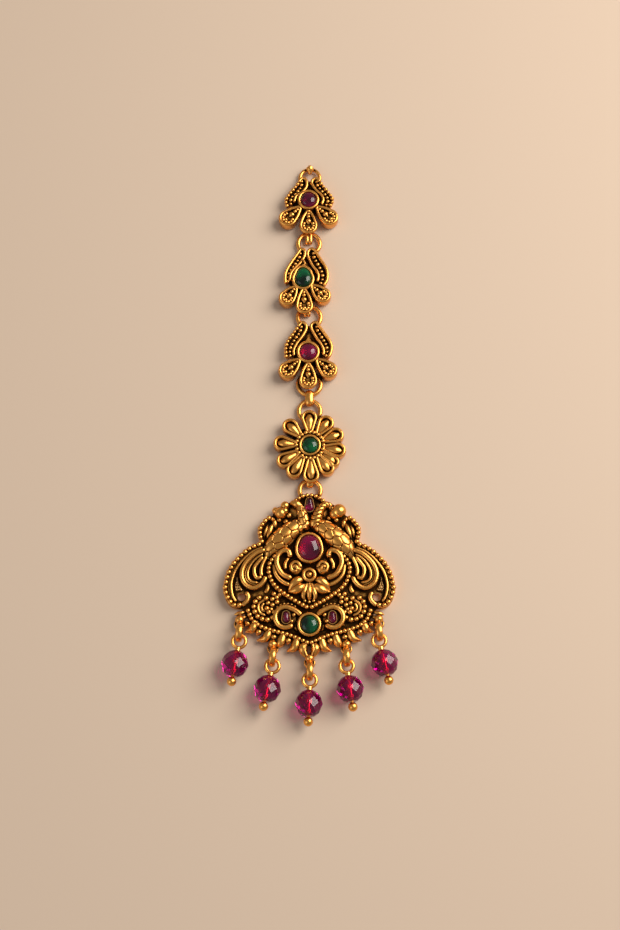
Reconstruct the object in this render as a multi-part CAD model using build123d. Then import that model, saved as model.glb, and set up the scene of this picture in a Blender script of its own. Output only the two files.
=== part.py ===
from build123d import *
from build123d.topology import SkipClean
from math import cos, pi, radians, sin, sqrt
import os

# A maang tikka lying on its back: three cast plaques and a flower joined by links, the fan-shaped
# pendant below them, and five faceted bead drops. Millimetres, +Z up, +Y towards the top ring.

# ---- Places along the chain, measured from the pendant's emerald -----------------------------
TOP_RING = (0.15, 105.9)
TOP_STONE = (-0.2, 99.5)
FIRST_LINK = (-0.1, 89.0, 93.45)      # x, lower end, upper end
SECOND_RING = (-0.05, 89.2)
SECOND_STONE = (-1.4, 79.95)
SECOND_LINK = (-0.5, 71.1, 75.35)
THIRD_RING = (0.0, 71.0)
THIRD_STONE = (-0.25, 61.95)
THIRD_EYE = (0.05, 54.83)
BAIL = (0.05, 49.5, 53.4)
FLOWER_RING = (0.1, 48.5)
FLOWER_CENTRE = (0.15, 40.0)
PENDANT_LINK = (0.15, 30.7, 34.15)
PENDANT_RING = (0.2, 30.1)

# ---- Heights above the table -----------------------------------------------------------------
LOOP_HEIGHT = 0.87        # centre of every ring and eye that lies flat
PLATE_TOP = 1.6           # sunk field of the pendant
PLAQUE_TOP = 1.9          # sunk field of the plaques
PETAL_FIELD = 2.2         # sunk field of the petals
RIM_TOP = 2.9             # crest of the raised rims
OVERHANG = 1.85           # underside of what reaches out over a link
COLLET_TOP = 3.15         # lip of the stone settings
SEAT = 2.0                # floor of the settings, where the stones sit
FOOT = 0.4                # underside of the side petals

# ---- Wires, beads and stones -----------------------------------------------------------------
LOOP_WIRE = 0.5
TOP_RING_WIRE = 0.42
EYE_WIRE = 0.38
LINK_DEPTH = 0.15
STAPLE_BAR = 0.6
STAPLE_PLAY = 0.16
LINK_HALF_BAND = 0.8
BAIL_HALF_BAND = 0.95
LINK_FLOOR = 0.02
LINK_TOP = 1.74
BAIL_TOP = 2.2
STONE_GAP = 0.05
GIRDLE = 2.7
CROWN = 3.7
COLLET_WALL = 0.62
OVAL_COLLET_TOP = 3.5
OVAL_GIRDLE = 3.1
OVAL_CROWN = 4.4
SMALL_WALL = 0.35
SMALL_SEAT = 1.7
SMALL_COLLET_TOP = 2.6
SMALL_GIRDLE = 2.3
SMALL_CROWN = 3.0
GRAIN = 0.36
# Shares of a grain's length, and its half width there as a share of the widest.
SPINDLE_PROFILE = [(0, 0.25), (0.2, 0.8), (0.5, 1.0), (0.8, 0.8), (1, 0.25)]

# ---- Drops -----------------------------------------------------------------------------------
BEAD_RADIUS = 3.1         # to the corners of the facets
BEAD_SIDES = 8
BEAD_HOLE = 0.45
BEAD_HEIGHT = 2.95        # middle of a bead above the table
PIN_RADIUS = 0.35
PIN_EYE_RADIUS = 1.42
PIN_EYE_TO_BEAD = 4.95
BALL_TO_BEAD = 3.82
BALL_RADIUS = 1.0
COLLAR_RADIUS = 0.62
PIN_SLOPE = 4.1           # degrees that a pin falls towards its eye
DROP_RING_RADIUS = 1.75
DROP_RING_DEPTH = 0.42
DROP_RING_HALF_BAND = 0.7
DROP_RING_HEIGHT = 2.2
RING_TO_PIN_EYE = 2.0
RING_TO_LUG = 1.5
LUG_RADIUS = 1.28
LUG_HEIGHT = 1.75

# Name of the drop, place of its ring from the emerald, and its lean in degrees anticlockwise.
DROPS = [
    ("first", -14.95, -1.6, -9.5),
    ("second", -7.8, -6.9, -12.0),
    ("third", 0.1, -9.9, -2.1),
    ("fourth", 7.95, -6.9, 8.0),
    ("fifth", 14.9, -1.45, 12.5),
]


# ---- Small shapes ----------------------------------------------------------------------------
def ball(x, y, radius, height):
    return Pos(x, y, height) * Sphere(radius)


def wire(points, radius, height):
    """A round wire along a smooth curve at one height, closed by a ball at each end."""
    path = Spline(*[(x, y, height) for x, y in points])
    section = Plane(origin=path @ 0, z_dir=path % 0) * Circle(radius)
    ends = [ball(*points[0], radius, height), ball(*points[-1], radius, height)]
    return [sweep(section, path=path)] + ends


def taper(stations, height, flat=1.0):
    """A body lofted through round sections; each station is x, y, half width."""
    sections = []
    for i, (x, y, half) in enumerate(stations):
        before = stations[max(i - 1, 0)]
        after = stations[min(i + 1, len(stations) - 1)]
        along = Vector(after[0] - before[0], after[1] - before[1], 0).normalized()
        plane = Plane(origin=(x, y, height), x_dir=(along.Y, -along.X, 0), z_dir=along)
        sections.append(plane * Ellipse(half, half * flat))
    return loft(sections)


def spindle(start, end, radius, height):
    """A long rounded grain from start to end, narrow at both ends."""
    stations = []
    for share, width in SPINDLE_PROFILE:
        x = start[0] + share * (end[0] - start[0])
        y = start[1] + share * (end[1] - start[1])
        stations.append((x, y, radius * width))
    return taper(stations, height)


def slab(outline, low, high):
    return Pos(0, 0, low) * extrude(outline, high - low)


def drop_outline(length, root, tip):
    """Outline of a petal along +X: a small round root and a larger round tip."""
    lean = (tip - root) / length
    rise = sqrt(1 - lean * lean)
    near = (-root * lean, root * rise)
    far = (length - tip * lean, tip * rise)
    return make_face([
        Line(near, far),
        ThreePointArc(far, (length + tip, 0), (far[0], -far[1])),
        Line((far[0], -far[1]), (near[0], -near[1])),
        ThreePointArc((near[0], -near[1]), (-root, 0), near),
    ])


def join(shapes):
    """Joins shapes two by two, which keeps every step small."""
    if len(shapes) == 1:
        return shapes[0]
    half = len(shapes) // 2
    return join(shapes[:half]).fuse(join(shapes[half:]))


def cast(shapes):
    """One solid from shapes that overlap, with the seams between them left unmerged."""
    with SkipClean():
        body = join(shapes)
    solids = body.solids()
    if len(solids) != 1:
        raise ValueError(f"a cast piece came out as {len(solids)} solids")
    return solids[0]


# ---- Rings, eyes and links -------------------------------------------------------------------
def flat_ring(centre, radius, wire_radius=LOOP_WIRE):
    """A round ring lying flat; the radius is that of the wire's centre line."""
    return Pos(*centre, LOOP_HEIGHT) * Torus(radius, wire_radius)


def staple(x, y, width, length):
    """A square eye behind a petal; its bar lies across the chain at y."""
    outer = Box(width + 2 * STAPLE_BAR, length + 2 * STAPLE_BAR, STAPLE_BAR)
    eye = outer - Box(width, length, 2 * STAPLE_BAR)
    return Pos(x, y + (length + STAPLE_BAR) / 2, LOOP_HEIGHT) * eye


def link(x, low, high, floor, top, depth, half_band):
    """A standing oval link across two flat wires: a rounded band bent to a long loop."""
    long_half = (high - low) / 2 - depth
    tall_half = (top - floor) / 2 - depth
    centre = (x, (high + low) / 2, (top + floor) / 2)
    plane = Plane(origin=centre, x_dir=(0, 1, 0), z_dir=(1, 0, 0))
    straight = long_half - tall_half
    path = Wire([
        Line((-straight, -tall_half), (straight, -tall_half)),
        ThreePointArc((straight, -tall_half), (long_half, 0), (straight, tall_half)),
        Line((straight, tall_half), (-straight, tall_half)),
        ThreePointArc((-straight, tall_half), (-long_half, 0), (-straight, -tall_half)),
    ])
    path = plane * path
    section = Plane(origin=path @ 0, x_dir=(1, 0, 0), z_dir=path % 0) * Ellipse(half_band, depth)
    return sweep(section, path=path)


# ---- Stones and their settings ---------------------------------------------------------------
def egg(low_radius, top_radius, spread, drop):
    """Outline of a stone: a large round below and a smaller one above, spread apart."""
    return Pos(0, spread - drop) * Rot(0, 0, -90) * drop_outline(spread, top_radius, low_radius)


def cabochon(outline, low, girdle, crown):
    """A domed stone: straight sides to the girdle, then a low dome up to the crown."""
    box = outline.bounding_box().size
    reach = max(box.X, box.Y) / 2
    rise = crown - girdle
    dome_radius = (reach * reach + rise * rise) / (2 * rise)
    dome = Pos(0, 0, crown - dome_radius) * Sphere(dome_radius)
    return slab(outline, low, crown) & dome


def collet(outline, wall, low, top, seat):
    """A setting: a wall round the stone's outline, with a floor at the seat."""
    outer = offset(outline, wall)
    inner = offset(outline, STONE_GAP)
    return slab(outer, low, top) - slab(inner, seat, top + 1)


TOP_OUTLINE = Circle(1.8).face()
SECOND_OUTLINE = egg(1.9, 1.45, 1.25, 0.34)
THIRD_OUTLINE = Circle(1.9).face()
FLOWER_OUTLINE = Circle(1.8).face()
EMERALD_OUTLINE = Circle(1.9).face()
OVAL_OUTLINE = egg(2.4, 2.15, 0.9, 0.35)
OVAL_RUBY = (0, 16.75)
SIDE_RUBY = (4.98, 1.6)
# Small rubies of the pendant: outline and place.
SMALL_RUBIES = {
    "pendant_crest_ruby": (egg(0.85, 0.55, 1.5, 0.6), (0.05, 26.5)),
    "pendant_right_ruby": (egg(0.72, 0.6, 1.08, 0.48), SIDE_RUBY),
    "pendant_left_ruby": (egg(0.72, 0.6, 1.08, 0.48), (-SIDE_RUBY[0], SIDE_RUBY[1])),
}


# ---- Plaques ---------------------------------------------------------------------------------
# The bands that rise on each side of a plaque's stone, from the top end down, measured from the
# stone. Columns: inner wire x, inner wire y, outer rim x, outer rim y.
TOP_RIGHT_BAND = [
    (1.75, 5.6, 2.4, 5.3),
    (1.0, 4.5, 3.1, 4.0),
    (1.8, 2.7, 4.2, 2.5),
    (2.95, 1.5, 5.1, 1.1),
    (3.45, 0.3, 5.45, -0.2),
    (3.2, -0.8, 5.0, -1.3),
]
TOP_LEFT_BAND = [
    (-1.2, 5.6, -1.9, 5.1),
    (-0.3, 4.5, -2.9, 3.7),
    (-1.4, 2.4, -4.1, 2.1),
    (-2.75, 1.4, -5.0, 0.7),
    (-3.3, 0.2, -5.2, -0.4),
    (-3.1, -0.9, -4.8, -1.4),
]
SECOND_RIGHT_BAND = [
    (2.0, 7.4, 2.8, 6.8),
    (1.1, 6.0, 3.9, 4.8),
    (2.0, 3.6, 4.8, 3.0),
    (3.1, 1.9, 5.4, 1.4),
    (3.5, 0.6, 5.35, -0.4),
    (3.3, -0.6, 4.7, -1.6),
]
SECOND_LEFT_BAND = [
    (-0.5, 7.2, -1.1, 6.5),
    (0.2, 5.9, -2.1, 4.8),
    (-0.8, 3.9, -3.2, 3.0),
    (-2.2, 2.6, -4.0, 1.4),
    (-3.0, 0.9, -4.5, 0.0),
    (-3.1, -0.6, -4.3, -1.2),
]
THIRD_RIGHT_BAND = [
    (1.6, 7.3, 2.4, 6.6),
    (0.8, 6.0, 3.4, 4.7),
    (1.8, 3.7, 4.5, 3.1),
    (2.95, 1.9, 5.1, 1.4),
    (3.5, 0.5, 5.0, -0.3),
    (3.4, -0.5, 4.6, -1.2),
]
THIRD_LEFT_BAND = [
    (-1.2, 7.3, -2.0, 6.6),
    (-0.4, 6.0, -3.2, 4.7),
    (-1.4, 3.7, -4.4, 3.1),
    (-2.6, 1.9, -5.0, 1.4),
    (-3.3, 0.5, -5.1, -0.3),
    (-3.3, -0.5, -4.8, -1.2),
]
BAND_WIRE = 0.4
BAND_WIRE_HEIGHT = 2.25
BAND_GRAINS = 8
PETAL_GRAINS = 5
PLAQUE_CORE = 3.4

# Petals of each plaque. Columns: bearing from the stone in degrees, reach, underside, half width.
TOP_PETALS = [
    (-42, 8.5, FOOT, 1.95),
    (-90, 8.5, OVERHANG, 2.0),
    (-136.5, 8.65, FOOT, 1.95),
]
SECOND_PETALS = [
    (-43.5, 7.95, FOOT, 1.8),
    (-87.5, 8.7, OVERHANG, 1.93),
    (-127, 7.95, FOOT, 1.8),
]
THIRD_PETALS = [
    (-43, 8.15, FOOT, 1.9),
    (-90, 8.7, OVERHANG, 1.95),
    (-137, 8.25, FOOT, 1.9),
]
PETAL_START = 2.38        # from the stone's middle to the petal's root
PETAL_ROOT = 0.75
PETAL_WALL = 0.55


def band(rows):
    """One beaded band: a plate between two wires, with a row of grains along its middle."""
    inner = [(row[0], row[1]) for row in rows]
    outer = [(row[2], row[3]) for row in rows]
    outline = make_face([
        Spline(*inner),
        Line(inner[-1], outer[-1]),
        Spline(*outer[::-1]),
        Line(outer[0], inner[0]),
    ])
    shapes = [slab(outline, 0, PLAQUE_TOP)]
    shapes += wire(inner, BAND_WIRE, BAND_WIRE_HEIGHT)
    shapes += wire(outer, BAND_WIRE, BAND_WIRE_HEIGHT)
    middle = Spline(*[((a + c) / 2, (b + d) / 2) for a, b, c, d in rows])
    for i in range(BAND_GRAINS):
        place = middle @ ((i + 0.5) / BAND_GRAINS)
        shapes.append(ball(place.X, place.Y, GRAIN, PLAQUE_TOP + 0.2))
    return shapes


def petal(bearing, reach, under, tip):
    """A petal with a raised rim and a row of grains, out along a bearing from the stone."""
    length = reach - PETAL_START - PETAL_ROOT - tip
    outline = drop_outline(length, PETAL_ROOT, tip)
    hollow = drop_outline(length, PETAL_ROOT - 0.9 * PETAL_WALL, tip - PETAL_WALL)
    shapes = [slab(outline, under, RIM_TOP) - slab(hollow, PETAL_FIELD, RIM_TOP + 1)]
    for i in range(PETAL_GRAINS):
        size = GRAIN * (0.8 + 0.07 * i)
        shapes.append(ball(0.8 + length * i / PETAL_GRAINS, 0, size, PETAL_FIELD + 0.1))
    place = Rot(0, 0, bearing) * Pos(PETAL_START + PETAL_ROOT, 0, 0)
    return [place * shape for shape in shapes]


def setting(outline, place, wall=COLLET_WALL, top=COLLET_TOP, seat=SEAT):
    """A stone's collet, moved to its place."""
    return Pos(*place, 0) * collet(outline, wall, 0, top, seat)


def plaque(stone, right_band, left_band, petals, ring_shapes):
    """A cast plaque about its stone: core, collet, two bands and three petals."""
    shapes = [setting(stone, (0, 0))]
    shapes.append(slab(Circle(PLAQUE_CORE), 0, SEAT - 0.4))
    shapes.append(Pos(0.2, 3.9, 0.7) * Box(3.0, 3.4, 1.4))
    shapes += band(right_band)
    shapes += band(left_band)
    for row in petals:
        shapes += petal(*row)
    return cast(shapes + ring_shapes)


def beyond(place, about):
    """A place measured from another place."""
    return (place[0] - about[0], place[1] - about[1])


def staple_for(chain_link, about):
    """The square eye that a link hangs from: its bar lies just inside the link's upper end."""
    bar_y = chain_link[2] - 2 * LINK_DEPTH - STAPLE_PLAY - STAPLE_BAR / 2
    x, y = beyond((chain_link[0], bar_y), about)
    return staple(x, y, 2 * LINK_HALF_BAND + 0.4, 1.9)


def top_plaque():
    """The plaque with the ring that takes the hook, and the knob soldered across that ring."""
    ring = beyond(TOP_RING, TOP_STONE)
    knob = spindle((ring[0], ring[1] + 3.05), (ring[0], ring[1] + 1.0), 0.75, 1.45)
    return plaque(TOP_OUTLINE, TOP_RIGHT_BAND, TOP_LEFT_BAND, TOP_PETALS, [
        flat_ring(ring, 2.3, TOP_RING_WIRE),
        knob,
        staple_for(FIRST_LINK, TOP_STONE),
        Pos(0, -3.6, LOOP_HEIGHT) * Box(2.2, 2.4, 0.7),
    ])


def second_plaque():
    return plaque(SECOND_OUTLINE, SECOND_RIGHT_BAND, SECOND_LEFT_BAND, SECOND_PETALS, [
        flat_ring(beyond(SECOND_RING, SECOND_STONE), 2.5),
        staple_for(SECOND_LINK, SECOND_STONE),
        Pos(0.5, -3.2, LOOP_HEIGHT) * Box(2.2, 1.6, 0.7),
    ])


def third_plaque():
    return plaque(THIRD_OUTLINE, THIRD_RIGHT_BAND, THIRD_LEFT_BAND, THIRD_PETALS, [
        flat_ring(beyond(THIRD_RING, THIRD_STONE), 2.6),
        flat_ring(beyond(THIRD_EYE, THIRD_STONE), 2.55),
        Pos(0, -3.6, LOOP_HEIGHT) * Box(2.4, 2.0, 0.7),
    ])


# ---- Flower ----------------------------------------------------------------------------------
FLOWER_REACH = 8.2
FLOWER_CORE = 4.2
FLOWER_GRAINS = 20
# Petals of the flower: bearing in degrees, underside, half width of the tip.
FLOWER_PETALS = [
    (90, OVERHANG, 1.6),
    (55, FOOT, 1.6),
    (23, FOOT, 1.6),
    (-9, FOOT, 1.65),
    (-34, FOOT, 1.3),
    (-56, FOOT, 1.6),
    (-88, OVERHANG, 1.65),
    (-122, FOOT, 1.6),
    (-150, FOOT, 1.6),
    (175, FOOT, 1.65),
    (135, FOOT, 1.7),
]


def flower_petal(bearing, under, tip):
    """A petal with a raised rim and a ridge along its middle."""
    root = 0.7
    start = 2.6
    length = FLOWER_REACH - start - root - tip
    outline = drop_outline(length, root, tip)
    hollow = drop_outline(length, root - 0.4, tip - 0.5)
    shell = slab(outline, under, RIM_TOP) - slab(hollow, PETAL_FIELD, RIM_TOP + 1)
    ridge = spindle((0.5, 0), (length + tip - 1.0, 0), 0.6, PETAL_FIELD)
    place = Rot(0, 0, bearing) * Pos(start + root, 0, 0)
    return [place * shell, place * ridge]


def flower_plaque():
    shapes = [setting(FLOWER_OUTLINE, (0, 0))]
    shapes.append(slab(Circle(FLOWER_CORE), 0, SEAT - 0.4))
    for bearing, under, tip in FLOWER_PETALS:
        shapes += flower_petal(bearing, under, tip)
    for i in range(FLOWER_GRAINS):
        angle = 2 * pi * i / FLOWER_GRAINS
        shapes.append(ball(3.0 * cos(angle), 3.0 * sin(angle), 0.42, RIM_TOP - 0.2))
    shapes.append(slab(Circle(3.3), SEAT - 0.6, RIM_TOP - 0.3) - slab(Circle(2.3), SEAT - 1, 4))
    ring = beyond(FLOWER_RING, FLOWER_CENTRE)
    shapes.append(flat_ring(ring, 2.4))
    shapes.append(Pos(0, 5.4, LOOP_HEIGHT) * Box(2.4, 4.2, 0.7))
    shapes.append(staple_for(PENDANT_LINK, FLOWER_CENTRE))
    return cast(shapes)


# ---- Pendant ---------------------------------------------------------------------------------
# Outline of the plate's right half, from the top to the lowest point: each row is one curve.
PLATE_OUTLINE = [
    [(0, 29.15), (1.8, 28.85), (3.4, 27.75)],
    [(3.4, 27.75), (5.4, 26.9), (7.5, 26.0), (8.0, 24.4)],
    [(8.0, 24.4), (9.9, 23.3), (11.1, 21.4), (10.6, 18.1)],
    [(10.6, 18.1), (13.2, 17.2), (16.0, 14.8), (17.9, 11.6), (18.6, 8.3), (18.1, 5.6),
     (16.6, 3.8), (14.6, 3.5)],
    [(14.6, 3.5), (12.7, 0.7), (11.0, -0.7), (8.4, -1.75), (5.6, -2.45), (2.9, -3.35), (0, -4.5)],
]

# Rows of beads on each half, as a curve through a few places. Columns: pitch, bead radius,
# height of the beads, then the places.
BEAD_ROWS = [
    (0.95, 0.42, 2.0, [(0.47, 28.68), (1.6, 28.4), (3.0, 27.5)]),
    (1.0, 0.45, 1.95, [(8.6, 23.6), (10.0, 22.4), (10.65, 20.3), (10.1, 18.0)]),
    (1.2, 0.5, 1.95, [(10.9, 17.6), (12.9, 16.75), (15.5, 14.45), (17.4, 11.4), (18.1, 8.3),
                      (17.5, 5.7), (15.9, 4.1), (14.2, 4.5), (13.2, 5.8)]),
    (1.0, 0.42, 2.0, [(6.2, 16.0), (8.1, 13.9), (8.6, 11.8), (8.0, 9.45), (6.3, 7.4),
                      (3.8, 5.75), (0.5, 3.9)]),
    (0.95, 0.42, 2.0, [(13.15, 3.1), (12.3, 1.2), (10.9, -0.05), (8.4, -1.1), (5.65, -1.8),
                       (2.9, -2.65), (0.5, -3.75)]),
    (1.15, 0.5, 1.95, [(10.6, 5.95), (11.6, 4.85), (11.65, 3.3), (10.6, 1.6), (8.9, 1.0),
                       (7.9, 1.4)]),
]

# Grapes beside each crescent: x and y of each ball.
GRAPES = [
    (7.75, 6.45),
    (6.9, 5.8),
    (8.9, 5.7),
    (7.85, 5.35),
    (6.8, 4.7),
    (8.6, 4.55),
    (7.75, 4.2),
    (9.0, 3.4),
    (8.0, 3.0),
]
GRAPE = 0.56

# Raised scrolls on each half. Columns: wire radius, height, then the places.
SCROLLS = [
    (0.32, 1.7, [(10.6, 16.8), (12.65, 15.6), (14.6, 13.9), (15.9, 11.9), (16.7, 9.4),
                 (16.6, 7.2), (15.9, 5.9)]),
    (0.55, 1.9, [(9.95, 16.4), (11.8, 15.3), (13.4, 13.4), (14.3, 11.3), (14.2, 9.7),
                 (13.3, 8.4), (11.9, 7.9), (10.4, 8.5), (9.4, 9.7)]),
    (0.3, 1.75, [(9.4, 14.6), (10.1, 12.7), (10.2, 10.6)]),
    (0.3, 1.75, [(10.4, 14.3), (11.4, 12.7), (11.6, 11.3), (11.0, 10.0)]),
    (0.45, 2.0, [(4.15, 15.2), (4.9, 16.3), (6.2, 15.7), (6.85, 14.2), (6.8, 12.9), (6.1, 11.5),
                 (4.9, 10.6), (3.9, 10.1)]),
]

# Body of a peacock, from the breast to the tail. Columns: x, y, half width.
PEACOCK_BODY = [
    (0.95, 22.7, 1.1),
    (2.2, 21.8, 1.7),
    (3.7, 20.7, 2.0),
    (5.5, 19.4, 2.05),
    (7.3, 18.1, 1.85),
    (8.6, 16.7, 1.45),
    (9.3, 15.0, 0.6),
]
RIGHT_NECK = [
    (1.1, 22.4, 1.25),
    (1.75, 24.3, 1.1),
    (2.6, 25.8, 0.85),
    (3.7, 26.5, 0.7),
    (4.8, 26.0, 0.5),
]
LEFT_NECK = [
    (-0.95, 22.3, 1.25),
    (-1.5, 24.2, 1.05),
    (-2.3, 25.6, 0.8),
]
# Buds behind the heads: x, y, radius.
BUDS = [
    (6.2, 24.6, 1.7),
    (5.5, 25.9, 0.7),
    (-5.9, 24.75, 1.35),
    (-5.3, 26.2, 0.9),
    (-7.35, 24.9, 0.75),
    (-4.35, 23.9, 0.6),
]

# Lotus fringe on each half. Columns: root, bend and tip of the horn, root and tip of the leaf.
FRINGE = [
    ((11.6, 0.4), (12.3, -1.0), (13.8, -1.45), (12.8, 0.9), (13.4, -0.3)),
    ((8.6, -1.3), (9.4, -2.9), (11.6, -3.4), (10.5, -0.6), (11.2, -2.4)),
    ((5.6, -2.3), (6.3, -4.0), (8.0, -4.6), (7.4, -1.7), (7.8, -3.5)),
    ((2.6, -3.0), (3.2, -5.0), (5.0, -5.8), (4.3, -2.4), (4.6, -4.3)),
]
# Smooth grains that stand alone on each half. Columns: start, end, radius, height.
LEAVES = [
    ((8.0, 24.1), (7.3, 21.2), 0.7, 1.7),
    ((8.3, 22.2), (9.4, 18.6), 0.8, 1.7),
    ((12.9, 3.0), (15.9, 2.6), 0.55, 1.3),
    ((12.6, 1.9), (15.6, 1.3), 0.55, 1.3),
    ((0.8, 9.5), (4.5, 7.2), 1.25, 1.8),
    ((0.2, 8.6), (1.3, 4.9), 0.65, 1.9),
    ((1.7, -4.0), (0.2, -7.4), 1.0, 1.3),
]

BLOSSOM = (0, 10.85)
BLOSSOM_RING = 1.2
BLOSSOM_LOBE = (2.95, 12.4)
PIERCING = (14.6, 6.2)
PIERCING_RADIUS = 0.85
CRESCENT_RADIUS = 2.05
CRESCENT_BEARINGS = [155, 120, 75, 30, -15, -60, -105, -145]
# Balls that end the crescent's two horns.
CRESCENT_ENDS = [(2.9, 2.1), (3.72, 0.8)]
CRESCENT_END = 0.46


def mirrored(points, side):
    return [(side * x, y) for x, y in points]


def plate():
    """The pendant's cast plate, one half mirrored on the other."""
    curves = [Spline(*row) for row in PLATE_OUTLINE]
    half = make_face(curves + [Line(PLATE_OUTLINE[-1][-1], PLATE_OUTLINE[0][0])])
    right = slab(half, 0, PLATE_TOP)
    return [right, mirror(right, about=Plane.YZ)]


def bead_row(pitch, radius, height, places):
    """Beads at an even pitch along a curve."""
    line = Spline(*places)
    count = max(2, round(line.length / pitch))
    return [ball((line @ (i / count)).X, (line @ (i / count)).Y, radius, height)
            for i in range(count + 1)]


def crescent(side):
    """The open crescent setting round a side ruby, curled at both ends."""
    x, y = SIDE_RUBY
    arc = [(x + CRESCENT_RADIUS * cos(radians(a)), y + CRESCENT_RADIUS * sin(radians(a)))
           for a in CRESCENT_BEARINGS]
    shapes = wire(mirrored(arc, side), 0.4, 1.95)
    for end_x, end_y in CRESCENT_ENDS:
        shapes.append(ball(side * end_x, end_y, CRESCENT_END, 1.9))
    return shapes


def half_relief(side):
    """Everything raised on one half of the plate that the other half mirrors."""
    shapes = []
    for pitch, radius, height, places in BEAD_ROWS:
        shapes += bead_row(pitch, radius, height, mirrored(places, side))
    for radius, height, places in SCROLLS:
        shapes += wire(mirrored(places, side), radius, height)
    for x, y in GRAPES:
        shapes.append(ball(side * x, y, GRAPE, 1.85))
    for start, end, radius, height in LEAVES:
        start, end = mirrored([start, end], side)
        shapes.append(spindle(start, end, radius, height))
    for root, bend, tip, leaf_root, leaf_tip in FRINGE:
        root, bend, tip, leaf_root, leaf_tip = mirrored([root, bend, tip, leaf_root, leaf_tip],
                                                        side)
        shapes.append(taper([(*root, 0.5), (*bend, 0.62), (*tip, 0.15)], 1.2))
        shapes.append(spindle(leaf_root, leaf_tip, 0.5, 1.35))
    body = [(side * x, y, half) for x, y, half in PEACOCK_BODY]
    shapes.append(taper(body, 2.0, 0.93))
    shapes.append(ball(side * 4.1, 15.6, 0.75, 2.0))
    shapes.append(ball(side * BLOSSOM_LOBE[0], BLOSSOM_LOBE[1], 1.4, 1.7))
    return shapes + crescent(side)


def lug(x, y):
    """The eye under the fringe that a drop's ring passes through."""
    return Pos(x, y + RING_TO_LUG, LUG_HEIGHT) * Torus(LUG_RADIUS, EYE_WIRE)


def pendant():
    """The whole pendant: plate, relief, settings, top ring and the five lugs."""
    shapes = plate()
    shapes += half_relief(1)
    shapes += half_relief(-1)
    shapes.append(setting(OVAL_OUTLINE, OVAL_RUBY, top=OVAL_COLLET_TOP))
    shapes.append(setting(EMERALD_OUTLINE, (0, 0)))
    for outline, place in SMALL_RUBIES.values():
        shapes.append(setting(outline, place, SMALL_WALL, SMALL_COLLET_TOP, SMALL_SEAT))
    shapes.append(Pos(*BLOSSOM, 0) * slab(Circle(BLOSSOM_RING + 0.25), 0, 2.4))
    shapes.append(Pos(*BLOSSOM, 2.45) * Torus(BLOSSOM_RING, 0.35))
    shapes.append(ball(*BLOSSOM, 0.63, 2.6))
    shapes.append(taper(RIGHT_NECK, 2.0))
    shapes.append(taper(LEFT_NECK, 2.0))
    shapes.append(spindle((-2.1, 25.2), (-3.9, 27.1), 0.85, 2.1))
    for x, y, radius in BUDS:
        shapes.append(ball(x, y, radius, 1.75))
    shapes.append(spindle((0, -4.0), (0, -7.4), 0.75, 1.4))
    shapes.append(flat_ring(PENDANT_RING, 2.3))
    for name, x, y, lean in DROPS:
        shapes.append(lug(x, y))
    body = cast(shapes)
    holes = [Pos(side * PIERCING[0], PIERCING[1], 0) * Cylinder(PIERCING_RADIUS, 8)
             for side in (1, -1)]
    with SkipClean():
        return body.cut(*holes).solids()[0]


# ---- Drops -----------------------------------------------------------------------------------
def facet_rings():
    """Radius and distance from the middle of each ring of facet corners, so facets lie flat."""
    half_turn = pi / BEAD_SIDES
    rings = [(BEAD_RADIUS, 0), (BEAD_RADIUS * cos(half_turn), BEAD_RADIUS * sin(half_turn))]
    while len(rings) < 5:
        (radius, height), (next_radius, next_height) = rings[-2:]
        step_in = next_radius * cos(half_turn) - radius
        step_up = next_height - height
        reach = -2 * (radius * step_in + height * step_up) / (step_in ** 2 + step_up ** 2)
        rings.append((radius + reach * step_in, height + reach * step_up))
    return rings


def faceted_bead():
    """A round bead cut all over in rows of diamond facets and drilled along Y."""
    half_turn = pi / BEAD_SIDES
    rings = facet_rings()
    last = len(rings) - 1

    def corner(ring, step):
        """Corner of a ring, counted in half facets round the bead's axis."""
        radius, height = rings[abs(ring)]
        angle = half_turn * (step + 1)
        return (radius * cos(angle), height if ring > 0 else -height, radius * sin(angle))

    facets = []
    for row in range(1 - last, last):
        for i in range(BEAD_SIDES):
            middle = 2 * i + 1 - row % 2
            facets.append([corner(row - 1, middle), corner(row, middle + 1),
                           corner(row + 1, middle), corner(row, middle - 1)])
    for end in (last, -last):
        inner = end - 1 if end > 0 else end + 1
        for i in range(BEAD_SIDES):
            middle = 2 * i + inner % 2
            facets.append([corner(inner, middle), corner(end, middle + 1), corner(end, middle - 1)])
        facets.append([corner(end, 2 * i + end % 2) for i in range(BEAD_SIDES)])
    shell = Shell([Face(Wire.make_polygon(points, close=True)) for points in facets])
    hole = Rot(90, 0, 0) * Cylinder(BEAD_HOLE, 3 * BEAD_RADIUS)
    return (Part() + Solid(shell) - hole).solids()[0]


def pin():
    """A bead's pin along Y: eye, collar, shank and the ball that holds the bead."""
    bead_end = facet_rings()[-1][1]
    eye_end = PIN_EYE_TO_BEAD - PIN_EYE_RADIUS
    shank = eye_end + BALL_TO_BEAD
    collar = eye_end - bead_end - 0.03
    return cast([
        Pos(0, PIN_EYE_TO_BEAD, 0) * Torus(PIN_EYE_RADIUS, EYE_WIRE),
        Pos(0, eye_end - shank / 2, 0) * Rot(90, 0, 0) * Cylinder(PIN_RADIUS, shank),
        Pos(0, eye_end - collar / 2, 0) * Rot(90, 0, 0) * Cylinder(COLLAR_RADIUS, collar),
        ball(0, -BALL_TO_BEAD, BALL_RADIUS, 0),
    ])


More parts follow.
